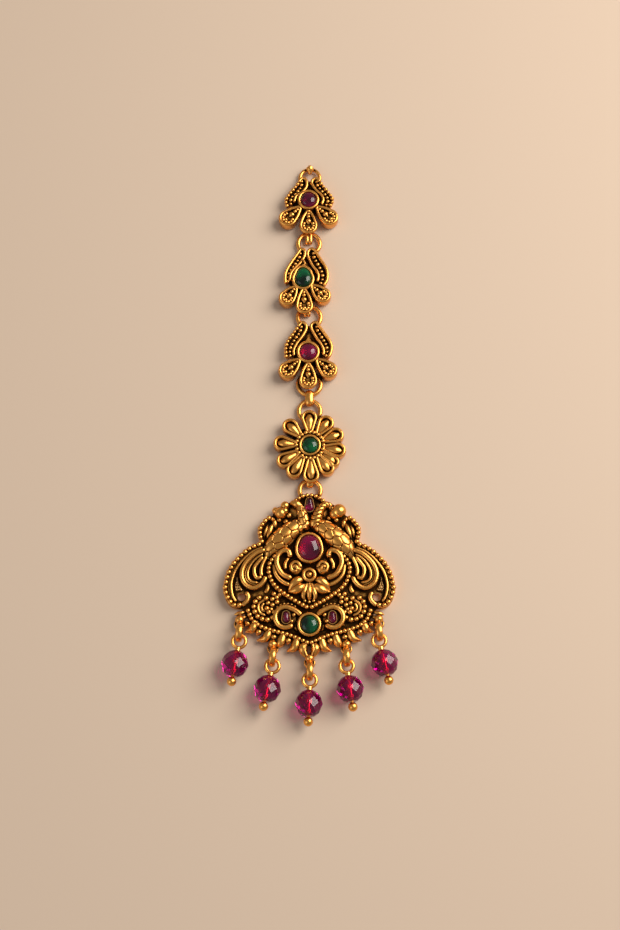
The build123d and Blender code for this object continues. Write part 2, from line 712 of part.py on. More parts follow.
def drop(name, x, y, lean):
    """The ring, pin and bead of one drop, lying on the table."""
    band = revolve(Pos(0, DROP_RING_RADIUS) * Ellipse(DROP_RING_HALF_BAND, DROP_RING_DEPTH),
                   axis=Axis.X)
    angle = radians(lean)
    reach = PIN_EYE_TO_BEAD * cos(radians(PIN_SLOPE))
    middle = Pos(x + reach * sin(angle), y - RING_TO_PIN_EYE - reach * cos(angle), BEAD_HEIGHT)
    lying = middle * Rot(0, 0, lean) * Rot(-PIN_SLOPE, 0, 0)
    return {
        f"{name}_drop_ring": Pos(x, y, DROP_RING_HEIGHT) * Rot(0, 0, lean / 2) * band,
        f"{name}_drop_pin": lying * pin(),
        f"{name}_drop_bead": lying * faceted_bead(),
    }


# ---- The whole piece -------------------------------------------------------------------------
def chain_link(ends, half_band=LINK_HALF_BAND, top=LINK_TOP):
    x, low, high = ends
    return link(x, low, high, LINK_FLOOR, top, LINK_DEPTH, half_band)


def stone(outline, place, seat=SEAT, girdle=GIRDLE, crown=CROWN):
    return Pos(*place, 0) * cabochon(outline, seat + STONE_GAP, girdle, crown)


def metal():
    return {
        "top_plaque": Pos(*TOP_STONE, 0) * top_plaque(),
        "second_plaque": Pos(*SECOND_STONE, 0) * second_plaque(),
        "third_plaque": Pos(*THIRD_STONE, 0) * third_plaque(),
        "flower_plaque": Pos(*FLOWER_CENTRE, 0) * flower_plaque(),
        "pendant": pendant(),
        "first_link": chain_link(FIRST_LINK),
        "second_link": chain_link(SECOND_LINK),
        "bail": chain_link(BAIL, BAIL_HALF_BAND, BAIL_TOP),
        "pendant_link": chain_link(PENDANT_LINK),
    }


def stones():
    pieces = {
        "top_ruby": stone(TOP_OUTLINE, TOP_STONE),
        "second_emerald": stone(SECOND_OUTLINE, SECOND_STONE),
        "third_ruby": stone(THIRD_OUTLINE, THIRD_STONE),
        "flower_emerald": stone(FLOWER_OUTLINE, FLOWER_CENTRE),
        "pendant_emerald": stone(EMERALD_OUTLINE, (0, 0)),
        "pendant_oval_ruby": stone(OVAL_OUTLINE, OVAL_RUBY, crown=OVAL_CROWN, girdle=OVAL_GIRDLE),
    }
    for name, (outline, place) in SMALL_RUBIES.items():
        pieces[name] = stone(outline, place, SMALL_SEAT, SMALL_GIRDLE, SMALL_CROWN)
    return pieces


def main():
    nodes = metal()
    nodes.update(stones())
    for row in DROPS:
        nodes.update(drop(*row))
    box = Compound(children=[Compound(list(node.solids())) for node in nodes.values()])
    box = box.bounding_box()
    middle = (box.min + box.max) / 2
    centred = Pos(-middle.X, -middle.Y, -box.min.Z)
    os.makedirs("parts", exist_ok=True)
    for name, shape in nodes.items():
        if not shape.is_valid:
            raise ValueError(f"{name} is not a sound solid")
        export_step(centred * shape, f"parts/{name}.step")
    print("size", box.size, "emerald at", -middle.X, -middle.Y, "lowest", box.min.Z)


main()
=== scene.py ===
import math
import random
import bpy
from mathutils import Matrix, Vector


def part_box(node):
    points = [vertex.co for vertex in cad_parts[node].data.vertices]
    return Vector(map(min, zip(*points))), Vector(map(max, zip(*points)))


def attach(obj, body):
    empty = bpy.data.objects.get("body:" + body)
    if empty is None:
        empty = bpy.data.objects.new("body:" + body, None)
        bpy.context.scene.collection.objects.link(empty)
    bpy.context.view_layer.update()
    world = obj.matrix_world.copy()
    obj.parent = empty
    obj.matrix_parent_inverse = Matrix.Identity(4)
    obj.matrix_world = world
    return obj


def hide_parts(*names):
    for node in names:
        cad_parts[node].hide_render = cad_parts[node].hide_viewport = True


bl_info = {
    "name": "Maang tikka",
    "version": (1, 0, 0),
    "blender": (4, 5, 0),
    "location": "View3D > Sidebar > Tikka",
    "description": "Dresses a linked forehead jewel: cast gold plaques, flower, pendant, stones and drops",
    "category": "Object",
}

from collections import namedtuple

import bpy
import numpy as np
from bpy.props import FloatProperty, FloatVectorProperty, PointerProperty
from mathutils import Vector

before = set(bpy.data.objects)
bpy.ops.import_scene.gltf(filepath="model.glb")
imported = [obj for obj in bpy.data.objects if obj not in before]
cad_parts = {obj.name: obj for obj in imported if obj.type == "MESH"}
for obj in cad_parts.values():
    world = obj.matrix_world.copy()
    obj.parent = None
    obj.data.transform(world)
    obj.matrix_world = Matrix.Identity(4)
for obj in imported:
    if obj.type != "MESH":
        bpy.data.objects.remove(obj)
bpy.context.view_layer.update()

# Shapes are worked out in millimetres and turned to metres when a mesh is made.
MM = 0.001
LOOP_HEIGHT = 0.87       # middle of every ring and eye that lies flat
PLATE_TOP = 1.2          # sunk field of the pendant
BAND_TOP = 1.7           # sunk field of the plaques' bands
PETAL_FIELD = 2.2        # sunk field of the petals
RIM_TOP = 2.95           # crest of the raised rims
OVERHANG = 1.85          # underside of what reaches out over a link
FOOT = 0.35              # underside of the side petals
COLLET_TOP = 3.15        # lip of the stone settings
SEAT = 2.0               # floor of the settings
DROPS = ("first", "second", "third", "fourth", "fifth")


def place_of(node):
    """Middle of a CAD node in millimetres, as x, y."""
    low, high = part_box(node)
    middle = (low + high) / 2 / MM
    return middle.x, middle.y


def origin_of(stone, outline):
    """Where a stone's outline has its origin, so that it lies over the CAD stone."""
    x, y = place_of(stone)
    low, high = outline(0).min(axis=0), outline(0).max(axis=0)
    return x - (low[0] + high[0]) / 2, y - (low[1] + high[1]) / 2


# ---- Closed shells ----------------------------------------------------------------------------
def smooth(rows, step):
    """Points at an even step along a smooth curve through the rows; every column is carried."""
    rows = np.array(rows, float)
    padded = np.vstack((2 * rows[0] - rows[1], rows, 2 * rows[-1] - rows[-2]))
    out = []
    for k in range(len(rows) - 1):
        a, b, c, d = padded[k:k + 4]
        count = max(1, round(np.linalg.norm((c - b)[:2]) / step))
        for i in range(count):
            t = i / count
            out.append(0.5 * (2 * b + (c - a) * t + (2 * a - 5 * b + 4 * c - d) * t ** 2
                              + (3 * b - a - 3 * c + d) * t ** 3))
    out.append(rows[-1])
    return np.array(out)


def loft(rings):
    """A closed shell through rings of equal counts, anticlockwise round the way they advance."""
    count = len(rings[0])
    faces = []
    for k in range(len(rings) - 1):
        low, high = k * count, (k + 1) * count
        for i in range(count):
            j = (i + 1) % count
            faces.append((low + i, low + j, high + j, high + i))
    last = (len(rings) - 1) * count
    faces.append(tuple(range(count - 1, -1, -1)))
    faces.append(tuple(range(last, last + count)))
    return np.concatenate(rings), faces


def moved(shell, x=0.0, y=0.0, z=0.0, bearing=0.0):
    """A shell turned about the upright axis by a bearing in degrees, then moved."""
    points, faces = shell
    c, s = math.cos(math.radians(bearing)), math.sin(math.radians(bearing))
    turn = np.array(((c, s, 0), (-s, c, 0), (0, 0, 1)))
    return points @ turn + np.array((x, y, z)), faces


def mirrored(rows, side):
    """Rows with their x on the given side, 1 or -1."""
    return [(side * row[0], *row[1:]) for row in rows]


def sweep(rows, flat=1.0, sides=12, step=0.3, carve=None, depth=None):
    """A round body with round ends along a smooth curve. Each row is x, y, z, radius; flat
    squashes it upwards, carve gives how deep the surface is cut at a distance and angle, and depth
    is flat's value for the lower half."""
    path = smooth(rows, step)
    centres, radii = path[:, :3], path[:, 3]
    along = np.gradient(centres, axis=0)
    along /= np.linalg.norm(along, axis=1)[:, None]
    travel = np.concatenate(([0], np.cumsum(np.linalg.norm(np.diff(centres, axis=0), axis=1))))
    stations = []
    for tilt in (82, 58, 30):
        back = radii[0] * math.sin(math.radians(tilt))
        stations.append((centres[0] - along[0] * back, radii[0] * math.cos(math.radians(tilt)),
                         along[0], -back))
    stations += list(zip(centres, radii, along, travel))
    for tilt in (30, 58, 82):
        on = radii[-1] * math.sin(math.radians(tilt))
        stations.append((centres[-1] + along[-1] * on, radii[-1] * math.cos(math.radians(tilt)),
                         along[-1], travel[-1] + on))
    angles = np.linspace(0, 2 * math.pi, sides, endpoint=False)
    rise = np.sin(angles) * np.where(np.sin(angles) < 0, flat if depth is None else depth, flat)
    rings = []
    for centre, radius, ahead, distance in stations:
        up = np.array((0, 0, 1.0)) - ahead[2] * ahead
        up /= np.linalg.norm(up)
        side = np.cross(up, ahead)
        reach = np.full(sides, radius)
        if carve:
            reach = reach - carve(distance, angles, radius)
        rings.append(centre + np.outer(reach * np.cos(angles), side)
                     + np.outer(reach * rise, up))
    return loft(rings)


def wire(points, radius, height, flat=1.0, sides=12):
    """A round wire of one thickness along a smooth curve at one height."""
    return sweep([(x, y, height, radius) for x, y in points], flat, sides)


def grain(start, end, radius, height, flat=1.0, sides=14):
    """A long rounded grain, widest in its middle."""
    rows = []
    for share, width in ((0.08, 0.35), (0.25, 0.82), (0.5, 1.0), (0.75, 0.82), (0.92, 0.35)):
        x = start[0] + share * (end[0] - start[0])
        y = start[1] + share * (end[1] - start[1])
        rows.append((x, y, height, radius * width))
    return sweep(rows, flat, sides, 0.2)


def ball(x, y, z, radius, flat=1.0, sides=14):
    """A bead, with flat as its height over its width."""
    angles = np.linspace(0, 2 * math.pi, sides, endpoint=False)
    rings = []
    for tilt in (-84, -62, -40, -20, 0, 20, 40, 62, 84):
        reach = radius * math.cos(math.radians(tilt))
        rise = radius * flat * math.sin(math.radians(tilt))
        rings.append(np.column_stack((x + reach * np.cos(angles), y + reach * np.sin(angles),
                                      np.full(sides, z + rise))))
    return loft(rings)


def bead_row(points, pitch, radius, height, wobble=0.0):
    """Beads at an even pitch along a smooth curve; wobble varies their size a little."""
    line = smooth(points, 0.1)
    travel = np.concatenate(([0], np.cumsum(np.linalg.norm(np.diff(line, axis=0), axis=1))))
    count = max(2, round(travel[-1] / pitch))
    shells = []
    for i in range(count + 1):
        x, y = (np.interp(travel[-1] * i / count, travel, line[:, k]) for k in (0, 1))
        size = radius * (1 + wobble * math.sin(i * 2.4))
        shells.append(ball(x, y, height, size, 0.95, 12))
    return shells


def hoop(x, y, z, half_width, half_length, radius, squareness=1.0, sides=14, count=56):
    """A closed ring lying flat; squareness under 1 squares its corners."""
    faces, points = [], []
    angles = np.linspace(0, 2 * math.pi, count, endpoint=False)
    round_angles = np.linspace(0, 2 * math.pi, sides, endpoint=False)
    cosines, sines = np.cos(angles), np.sin(angles)
    line = np.column_stack((x + half_width * np.sign(cosines) * abs(cosines) ** squareness,
                            y + half_length * np.sign(sines) * abs(sines) ** squareness))
    ahead = np.roll(line, -1, axis=0) - np.roll(line, 1, axis=0)
    ahead /= np.linalg.norm(ahead, axis=1)[:, None]
    for (px, py), (tx, ty) in zip(line, ahead):
        for a in round_angles:
            points.append((px - ty * radius * math.cos(a), py + tx * radius * math.cos(a),
                           z + radius * math.sin(a)))
    for i in range(count):
        j = (i + 1) % count
        for k in range(sides):
            m = (k + 1) % sides
            faces.append((i * sides + k, i * sides + m, j * sides + m, j * sides + k))
    return np.array(points), faces


def slab(outline, low, high, rounding=0.18):
    """A plate with straight walls and a softened upper edge, from its outline."""
    line = np.array(outline, float)
    area = 0.5 * np.sum(line[:, 0] * np.roll(line[:, 1], -1) - np.roll(line[:, 0], -1) * line[:, 1])
    if area < 0:
        line = line[::-1]
    ahead = np.roll(line, -1, axis=0) - np.roll(line, 1, axis=0)
    ahead /= np.linalg.norm(ahead, axis=1)[:, None]
    inward = np.column_stack((-ahead[:, 1], ahead[:, 0]))
    rings = []
    for inset, height in ((0, low), (0, high - rounding), (0.3 * rounding, high - 0.3 * rounding),
                          (rounding, high)):
        flat = line + inward * inset
        rings.append(np.column_stack((flat, np.full(len(flat), height))))
    return loft(rings)


# ---- Outlines that can be drawn in --------------------------------------------------------------
def round_outline(radius, count=48):
    """A circle as a function of how far it is drawn in."""
    angles = np.linspace(0, 2 * math.pi, count, endpoint=False)

    def ring(inset):
        return np.column_stack((np.cos(angles), np.sin(angles))) * max(radius - inset, 0.03)
    return ring


def drop_outline(length, root, tip, bearing=0.0, x=0.0, y=0.0):
    """A drop: a small round root at the start and a larger round tip at its length."""
    lean = (tip - root) / length
    turn = math.pi / 2 + math.asin(lean)
    c, s = math.cos(math.radians(bearing)), math.sin(math.radians(bearing))

    def ring(inset):
        near, far = root - inset, max(tip - inset, 0.03)
        start = 0.0
        if near < 0.03:
            start = min((0.03 - near) / lean, length * 0.999)
            near = 0.03
        tip_arc = np.linspace(-turn, turn, 21)
        root_arc = np.linspace(turn, 2 * math.pi - turn, 11)
        tip_points = np.column_stack((length + far * np.cos(tip_arc), far * np.sin(tip_arc)))
        root_points = np.column_stack((start + near * np.cos(root_arc), near * np.sin(root_arc)))
        shares = np.linspace(0, 1, 8)[1:-1, None]
        there = tip_points[-1] + shares * (root_points[0] - tip_points[-1])
        back = root_points[-1] + shares * (tip_points[0] - root_points[-1])
        line = np.vstack((tip_points, there, root_points, back))
        return np.column_stack((x + line[:, 0] * c - line[:, 1] * s,
                                y + line[:, 0] * s + line[:, 1] * c))
    return ring


def egg_outline(low_radius, top_radius, spread, drop):
    """A stone's outline: a large round below and a smaller one above."""
    return drop_outline(spread, top_radius, low_radius, -90, 0, spread - drop)


def turned(outline, profile):
    """A closed shell whose rings follow an outline, drawn in and raised as the profile says."""
    rings = []
    for inset, height in profile:
        flat = outline(inset)
        rings.append(np.column_stack((flat, np.full(len(flat), height))))
    return loft(rings)


def cabochon(outline, reach, low, girdle, crown):
    """A polished domed stone."""
    profile = [(0.1, low), (0.0, low + 0.1), (0.0, girdle)]
    for tilt in (12, 24, 36, 48, 60, 70, 79, 86):
        profile.append((reach * (1 - math.cos(math.radians(tilt))),
                        girdle + (crown - girdle) * math.sin(math.radians(tilt))))
    return turned(outline, profile)


def collet(outline, wall, low, top, seat, gap=0.05):
    """A stone's setting: a wall with a rolled lip and a floor inside."""
    lip = 0.5 * (wall - gap)
    profile = [(-wall, low), (-wall - 0.05, low + 0.4 * (top - low)), (-wall, top - 0.3)]
    for tilt in (25, 50, 75, 105, 130, 155):
        profile.append((-gap - lip - lip * math.cos(math.radians(tilt)),
                        top - 0.3 + 0.3 * math.sin(math.radians(tilt))))
    profile += [(-gap, top - 0.32), (-gap, seat)]
    return turned(outline, profile)


# ---- Meshes -------------------------------------------------------------------------------------
def mesh_of(name, shells):
    """One mesh, in metres, that holds all the shells."""
    faces, base = [], 0
    for points, polygons in shells:
        faces += [tuple(base + i for i in polygon) for polygon in polygons]
        base += len(points)
    mesh = bpy.data.meshes.new(name)
    mesh.from_pydata((np.concatenate([points for points, _ in shells]) * MM).tolist(), [], faces)
    return mesh


def soften(mesh, crease=38.0):
    """Smooth shading that keeps creases sharper than an angle in degrees."""
    mesh.polygons.foreach_set("use_smooth", [True] * len(mesh.polygons))
    mesh.set_sharp_from_angle(angle=math.radians(crease))


def stand_for(name, mesh, finish, nodes):
    """Links a finished mesh as the piece that is shown for CAD nodes."""
    mesh.materials.clear()
    mesh.materials.append(finish)
    mesh.polygons.foreach_set("material_index", [0] * len(mesh.polygons))
    piece = bpy.data.objects.new(name, mesh)
    bpy.context.scene.collection.objects.link(piece)
    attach(piece, "root")
    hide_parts(*nodes)
    return piece


def apart(shells):
    """Sorts shells into layers in which no two shells touch, judged by their boxes."""
    layers = []
    for shell in shells:
        low, high = shell[0].min(axis=0), shell[0].max(axis=0)
        for layer in layers:
            if all((low > far).any() or (high < near).any() for _, near, far in layer):
                layer.append((shell, low, high))
                break
        else:
            layers.append([(shell, low, high)])
    return [[shell for shell, _, _ in layer] for layer in layers]


def weld(name, layers, holes=()):
    """One closed mesh from layers of shells, each united with those before it, less any holes."""
    objects = []
    layers = [group for layer in layers for group in apart(layer)]
    for i, shells in enumerate(layers + ([holes] if holes else [])):
        part = bpy.data.objects.new(f"{name}_{i}", mesh_of(f"{name}_{i}", shells))
        bpy.context.scene.collection.objects.link(part)
        objects.append(part)
    base = objects[0]
    for other in objects[1:]:
        union = base.modifiers.new(other.name, "BOOLEAN")
        union.operation = "DIFFERENCE" if holes and other is objects[-1] else "UNION"
        union.solver = "MANIFOLD"
        union.object = other
    shown = base.evaluated_get(bpy.context.evaluated_depsgraph_get())
    mesh = bpy.data.meshes.new_from_object(shown)
    mesh.name = name
    if not mesh.polygons:
        raise RuntimeError(f"{name} came out empty")
    for part in objects:
        old = part.data
        bpy.data.objects.remove(part)
        bpy.data.meshes.remove(old)
    return mesh


# ---- Finishes -----------------------------------------------------------------------------------
def socket(node, name, value):
    """Sets an input of a node by its name."""
    node.inputs[name].default_value = value


def new_finish(name):
    """An empty material with a Principled shader; gives the material, its nodes and the shader."""
    if name in bpy.data.materials:
        raise RuntimeError(f"there is already a material called {name}")
    finish = bpy.data.materials.new(name)
    finish["tikka_finish"] = True
    finish.use_nodes = True
    return finish, finish.node_tree, finish.node_tree.nodes["Principled BSDF"]


def add(tree, kind, **values):
    """A new node of a kind, with its properties set."""
    node = tree.nodes.new("ShaderNode" + kind)
    for key, value in values.items():
        setattr(node, key, value)
    return node


def noise(tree, place, scale, detail=3.0, roughness=0.55):
    """A noise texture of a scale per metre at a place socket; gives its value socket."""
    texture = add(tree, "TexNoise")
    socket(texture, "Scale", scale)
    socket(texture, "Detail", detail)
    socket(texture, "Roughness", roughness)
    tree.links.new(place, texture.inputs["Vector"])
    return texture.outputs["Fac"]


def spread(tree, value, low, high, out_low=0.0, out_high=1.0):
    """Maps a value from one range to another, clamped."""
    mapped = add(tree, "MapRange", clamp=True)
    tree.links.new(value, mapped.inputs["Value"])
    for name, number in (("From Min", low), ("From Max", high), ("To Min", out_low), ("To Max", out_high)):
        socket(mapped, name, number)
    return mapped.outputs["Result"]


def combine(tree, how, first, second):
    """A math node between two sockets, or a socket and a number."""
    node = add(tree, "Math", operation=how)
    for i, term in enumerate((first, second)):
        if isinstance(term, (int, float)):
            node.inputs[i].default_value = term
        else:
            tree.links.new(term, node.inputs[i])
    return node.outputs[0]


def blend_colours(tree, share, first, second):
    """A colour between two, each a socket or a colour."""
    node = add(tree, "Mix", data_type="RGBA")
    tree.links.new(share, node.inputs["Factor"])
    for name, colour in (("A", first), ("B", second)):
        target = [i for i in node.inputs if i.name == name and i.type == "RGBA"][0]
        if isinstance(colour, bpy.types.NodeSocket):
            tree.links.new(colour, target)
        else:
            target.default_value = (*colour, 1.0)
    return [o for o in node.outputs if o.type == "RGBA"][0]


def antique_gold(name, settings, patina_and_shade=1.0):
    """Cast gold: brown patina and painted shade held in the recesses and on low open ground, and crests that are worn
    and carry a painted highlight.
    """
    finish, tree, shader = new_finish(name)
    place = add(tree, "TexCoord").outputs["Object"]
    # Ambient occlusion finds the recesses, which get brown patina and painted shade.
    recess = add(tree, "AmbientOcclusion", samples=12, only_local=True)
    socket(recess, "Distance", settings.patina_and_shade_reach)
    # Ambient occlusion from inside finds convex edges, which get real wear and a painted highlight.
    edge = add(tree, "AmbientOcclusion", samples=8, only_local=True, inside=True)
    socket(edge, "Distance", settings.wear_and_highlight_reach)
    blotches = noise(tree, place, 900.0)
    pits = noise(tree, place, 2600.0, 4.0)
    height = add(tree, "SeparateXYZ")
    tree.links.new(place, height.inputs[0])
    facing = add(tree, "SeparateXYZ")
    tree.links.new(add(tree, "NewGeometry").outputs["Normal"], facing.inputs[0])
    openness = spread(tree, recess.outputs["AO"], 0.36, 0.9)
    # Low, upward-facing, sheltered ground is darkened further: patina and painted shade.
    low = spread(tree, height.outputs["Z"], 0.0014, 0.0026, 1.0, 0.0)
    level = spread(tree, facing.outputs["Z"], 0.6, 0.97)
    sheltered = spread(tree, recess.outputs["AO"], 0.98, 0.84, 0.15, 1.0)
    low_oxide_and_shade = combine(tree, "MULTIPLY", combine(tree, "MULTIPLY", low, level), 0.72 * patina_and_shade)
    low_oxide_and_shade = combine(tree, "MULTIPLY", low_oxide_and_shade, sheltered)
    openness = combine(tree, "SUBTRACT", openness, low_oxide_and_shade)
    uneven = spread(tree, blotches, 0.3, 0.7, -0.1, 0.1)
    clean_and_lit = combine(tree, "MAXIMUM", combine(tree, "ADD", openness, uneven), 0.0)
    # Worn crests: real wear and a painted highlight in the crest colour.
    wear_and_highlight = spread(tree, edge.outputs["AO"], 0.85, 0.4)
    wear_and_highlight = combine(tree, "MULTIPLY", wear_and_highlight, clean_and_lit)
    # Colour runs from patina and painted shade in the recesses through clean gold to the worn crests with their
    # painted highlight.
    shade = blend_colours(tree, spread(tree, clean_and_lit, 0.03, 0.4), settings.recess_oxide_and_shade,
                          settings.low_ground_oxide_and_shade)
    body = blend_colours(tree, spread(tree, clean_and_lit, 0.3, 0.8), shade, settings.gold_colour)
    colour = blend_colours(tree, wear_and_highlight, body, settings.rubbed_crest_and_highlight)
    tree.links.new(colour, shader.inputs["Base Color"])
    rough = combine(tree, "ADD", spread(tree, clean_and_lit, 0.1, 0.8, 0.6, settings.gold_roughness),
                    spread(tree, pits, 0.35, 0.65, -0.03, 0.04))
    tree.links.new(rough, shader.inputs["Roughness"])
    socket(shader, "Metallic", 1.0)
    relief = combine(tree, "ADD", spread(tree, pits, 0.0, 1.0, 0.0, 0.45), blotches)
    bump = add(tree, "Bump")
    socket(bump, "Strength", 0.14)
    socket(bump, "Distance", 0.00005)
    tree.links.new(relief, bump.inputs["Height"])
    tree.links.new(bump.outputs["Normal"], shader.inputs["Normal"])
    return finish


def stone_glass(name, deep, bright, index, clear):
    """Polished coloured glass, a little cloudy inside and brighter in patches."""
    finish, tree, shader = new_finish(name)
    place = add(tree, "TexCoord").outputs["Object"]
    cloud = spread(tree, noise(tree, place, 260.0, 1.0), 0.36, 0.66)
    colour = blend_colours(tree, cloud, deep, bright)
    tree.links.new(colour, shader.inputs["Base Color"])
    film = spread(tree, noise(tree, place, 1800.0), 0.3, 0.7, 0.01, 0.035)
    tree.links.new(film, shader.inputs["Roughness"])
    socket(shader, "IOR", index)
    socket(shader, "Transmission Weight", clear)
    return finish


# ---- Stones -------------------------------------------------------------------------------------
# Each stone: outline, how far its dome draws in, floor, lip of its setting, girdle, crown, wall, glass.
Stone = namedtuple("Stone", "outline reach seat lip girdle crown wall glass")
STONES = {
    "top_ruby": Stone(round_outline(1.8), 1.55, SEAT, COLLET_TOP, 2.7, 3.7, 0.7, "ruby_glass"),
    "second_emerald": Stone(egg_outline(1.9, 1.45, 1.25, 0.34), 1.4, SEAT, COLLET_TOP, 2.7, 3.7, 0.7,
                            "emerald_glass"),
    "third_ruby": Stone(round_outline(1.9), 1.65, SEAT, COLLET_TOP, 2.7, 3.7, 0.7, "ruby_glass"),
    "flower_emerald": Stone(round_outline(1.8), 1.55, SEAT, COLLET_TOP, 2.7, 3.7, 0.66, "emerald_glass"),
    "pendant_oval_ruby": Stone(egg_outline(2.4, 2.15, 0.9, 0.35), 2.0, SEAT, 3.5, 3.1, 4.4, 0.7,
                               "ruby_glass"),
    "pendant_emerald": Stone(round_outline(1.9), 1.65, SEAT, COLLET_TOP, 2.7, 3.7, 0.7, "emerald_glass"),
    "pendant_crest_ruby": Stone(egg_outline(0.85, 0.55, 1.5, 0.6), 0.53, 1.7, 2.6, 2.3, 3.0, 0.35,
                                "ruby_glass"),
    "pendant_right_ruby": Stone(egg_outline(0.72, 0.6, 1.08, 0.48), 0.57, 1.7, 2.6, 2.3, 3.0, 0.35,
                                "ruby_glass"),
    "pendant_left_ruby": Stone(egg_outline(0.72, 0.6, 1.08, 0.48), 0.57, 1.7, 2.6, 2.3, 3.0, 0.35,
                               "ruby_glass"),
}


# ---- Plaques ------------------------------------------------------------------------------------
# Each plaque rises beside its stone in two beaded bands. Rows run from the top end down, measured
# from the stone: the crest of the inner wire, then the crest of the outer rim. Each petal is its
# bearing in degrees, reach, underside and half width.
PLAQUES = {
    "top_plaque": {
        "stone": "top_ruby",
        "right": ([(1.9, 5.75), (1.0, 5.25), (0.8, 4.4), (1.7, 2.75), (2.9, 1.55), (3.45, 0.35), (3.15, -0.8)],
                  [(2.45, 5.1), (3.25, 3.9), (4.2, 2.6), (5.25, 1.15), (5.6, -0.15), (5.1, -1.2)]),
        "left": ([(-1.3, 5.8), (-0.6, 5.3), (-0.35, 4.4), (-0.6, 3.2), (-1.6, 1.95), (-2.8, 1.2), (-3.25, -0.15)],
                 [(-2.1, 4.95), (-3.0, 3.5), (-4.4, 1.7), (-5.25, 0.1), (-5.0, -1.3)]),
        "knurled": ("right", "left"),
        "petals": ((-42, 8.55, FOOT, 2.12), (-90, 8.55, OVERHANG, 2.12), (-136.5, 8.7, FOOT, 2.12)),
        "ring": (0.35, 6.4, 2.3, 0.42),
        "eye": (0.1, -5.56),
        "top": [[sweep([(0.35, 7.55, 1.5, 0.45), (0.35, 8.1, 1.55, 0.8), (0.35, 8.6, 1.6, 0.88),
                        (0.35, 8.76, 1.55, 0.66)], 1.05, 20, 0.15)],
                [ball(0.05, -3.0, 2.9, 0.4)]],
    },
    "second_plaque": {
        "stone": "second_emerald",
        "right": ([(2.1, 7.4), (1.3, 6.95), (1.05, 5.7), (2.05, 3.3), (3.1, 1.9), (3.5, 0.6), (3.3, -0.55)],
                  [(2.9, 6.55), (4.05, 4.65), (5.1, 2.9), (5.55, 1.35), (5.45, -0.4), (4.75, -1.65)]),
        "left": ([(-0.5, 7.3), (0.25, 7.0), (0.35, 5.7), (-0.6, 3.9), (-1.75, 2.65), (-2.75, 1.3), (-3.05, -0.3)],
                 [(-1.15, 6.3), (-2.35, 4.5), (-3.5, 2.6), (-4.1, 0.85), (-4.05, -0.95)]),
        "knurled": (),
        "petals": ((-43.5, 8.0, FOOT, 1.96), (-87.5, 8.75, OVERHANG, 2.02), (-127, 8.0, FOOT, 1.96)),
        "ring": (1.35, 9.25, 2.5, 0.5),
        "eye": (0.9, -4.11),
        "top": [[wire([(0.0, 4.3), (0.5, 3.4), (-0.1, 3.0), (0.6, 2.75)], 0.24, 2.9, 1.0, 10)]],
    },
    "third_plaque": {
        "stone": "third_ruby",
        "right": ([(1.75, 7.3), (0.8, 6.75), (0.75, 5.7), (1.75, 3.75), (2.95, 1.9), (3.5, 0.5), (3.45, -0.4)],
                  [(2.45, 6.4), (3.75, 4.45), (4.8, 2.9), (5.3, 1.3), (5.0, -0.35), (4.65, -1.0)]),
        "left": ([(-1.3, 7.3), (-0.55, 6.7), (-0.45, 5.6), (-1.35, 3.8), (-2.5, 2.2), (-3.25, 0.6), (-3.2, -0.5)],
                 [(-2.1, 6.5), (-3.4, 4.5), (-4.5, 2.9), (-5.05, 1.2), (-5.0, -0.9)]),
        "knurled": ("left",),
        "petals": ((-43, 8.25, FOOT, 2.06), (-90, 8.8, OVERHANG, 2.06), (-137, 8.4, FOOT, 2.06)),
        "ring": (0.25, 9.05, 2.6, 0.5),
        "hoop": (0.3, -7.12, 2.55, 0.5),
        "top": [[slab([(-0.75, 2.5), (0.85, 2.5), (0.1, 3.9)], 1.4, 2.7, 0.25)]],
    },
}
PETAL_ROOT = 0.78
PETAL_START = 2.38


def rim_profile(under, wall, field):
    """How a petal's edge goes: out and up from its underside, over the rim, down to the field."""
    profile = [(0.3, under), (0.1, under + 0.14), (0.0, under + 0.4), (-0.03, (under + RIM_TOP) / 2),
               (0.0, RIM_TOP - 0.6)]
    for tilt in (18, 38, 58, 76, 92, 108, 124, 142, 162):
        profile.append((wall / 2 * (1 - math.cos(math.radians(tilt))),
                        RIM_TOP - 0.42 + 0.42 * math.sin(math.radians(tilt))))
    profile += [(wall + 0.02, RIM_TOP - 0.55), (wall + 0.1, field)]
    return profile


def petal_outline(length, root, tip, bow=0.16):
    """A petal with sides that swell a little between its small root and its large tip."""
    lean = (tip - root) / length
    turn = math.pi / 2 + math.asin(lean)

    def ring(inset):
        near, far = max(root - inset, 0.03), max(tip - inset, 0.03)
        start = 0.0 if root - inset > 0.03 else min((0.03 - root + inset) / lean, 0.8 * length)
        tip_arc = np.linspace(-turn, turn, 25)
        root_arc = np.linspace(turn, 2 * math.pi - turn, 11)
        tip_points = np.column_stack((length + far * np.cos(tip_arc), far * np.sin(tip_arc)))
        root_points = np.column_stack((start + near * np.cos(root_arc), near * np.sin(root_arc)))
        shares = np.linspace(0, 1, 11)[1:-1, None]
        swell = np.column_stack((np.zeros(9), bow * np.sin(math.pi * shares[:, 0])))
        there = tip_points[-1] + shares * (root_points[0] - tip_points[-1]) + swell
        back = root_points[-1] + shares * (tip_points[0] - root_points[-1]) - swell
        return np.vstack((tip_points, there, root_points, back))
    return ring


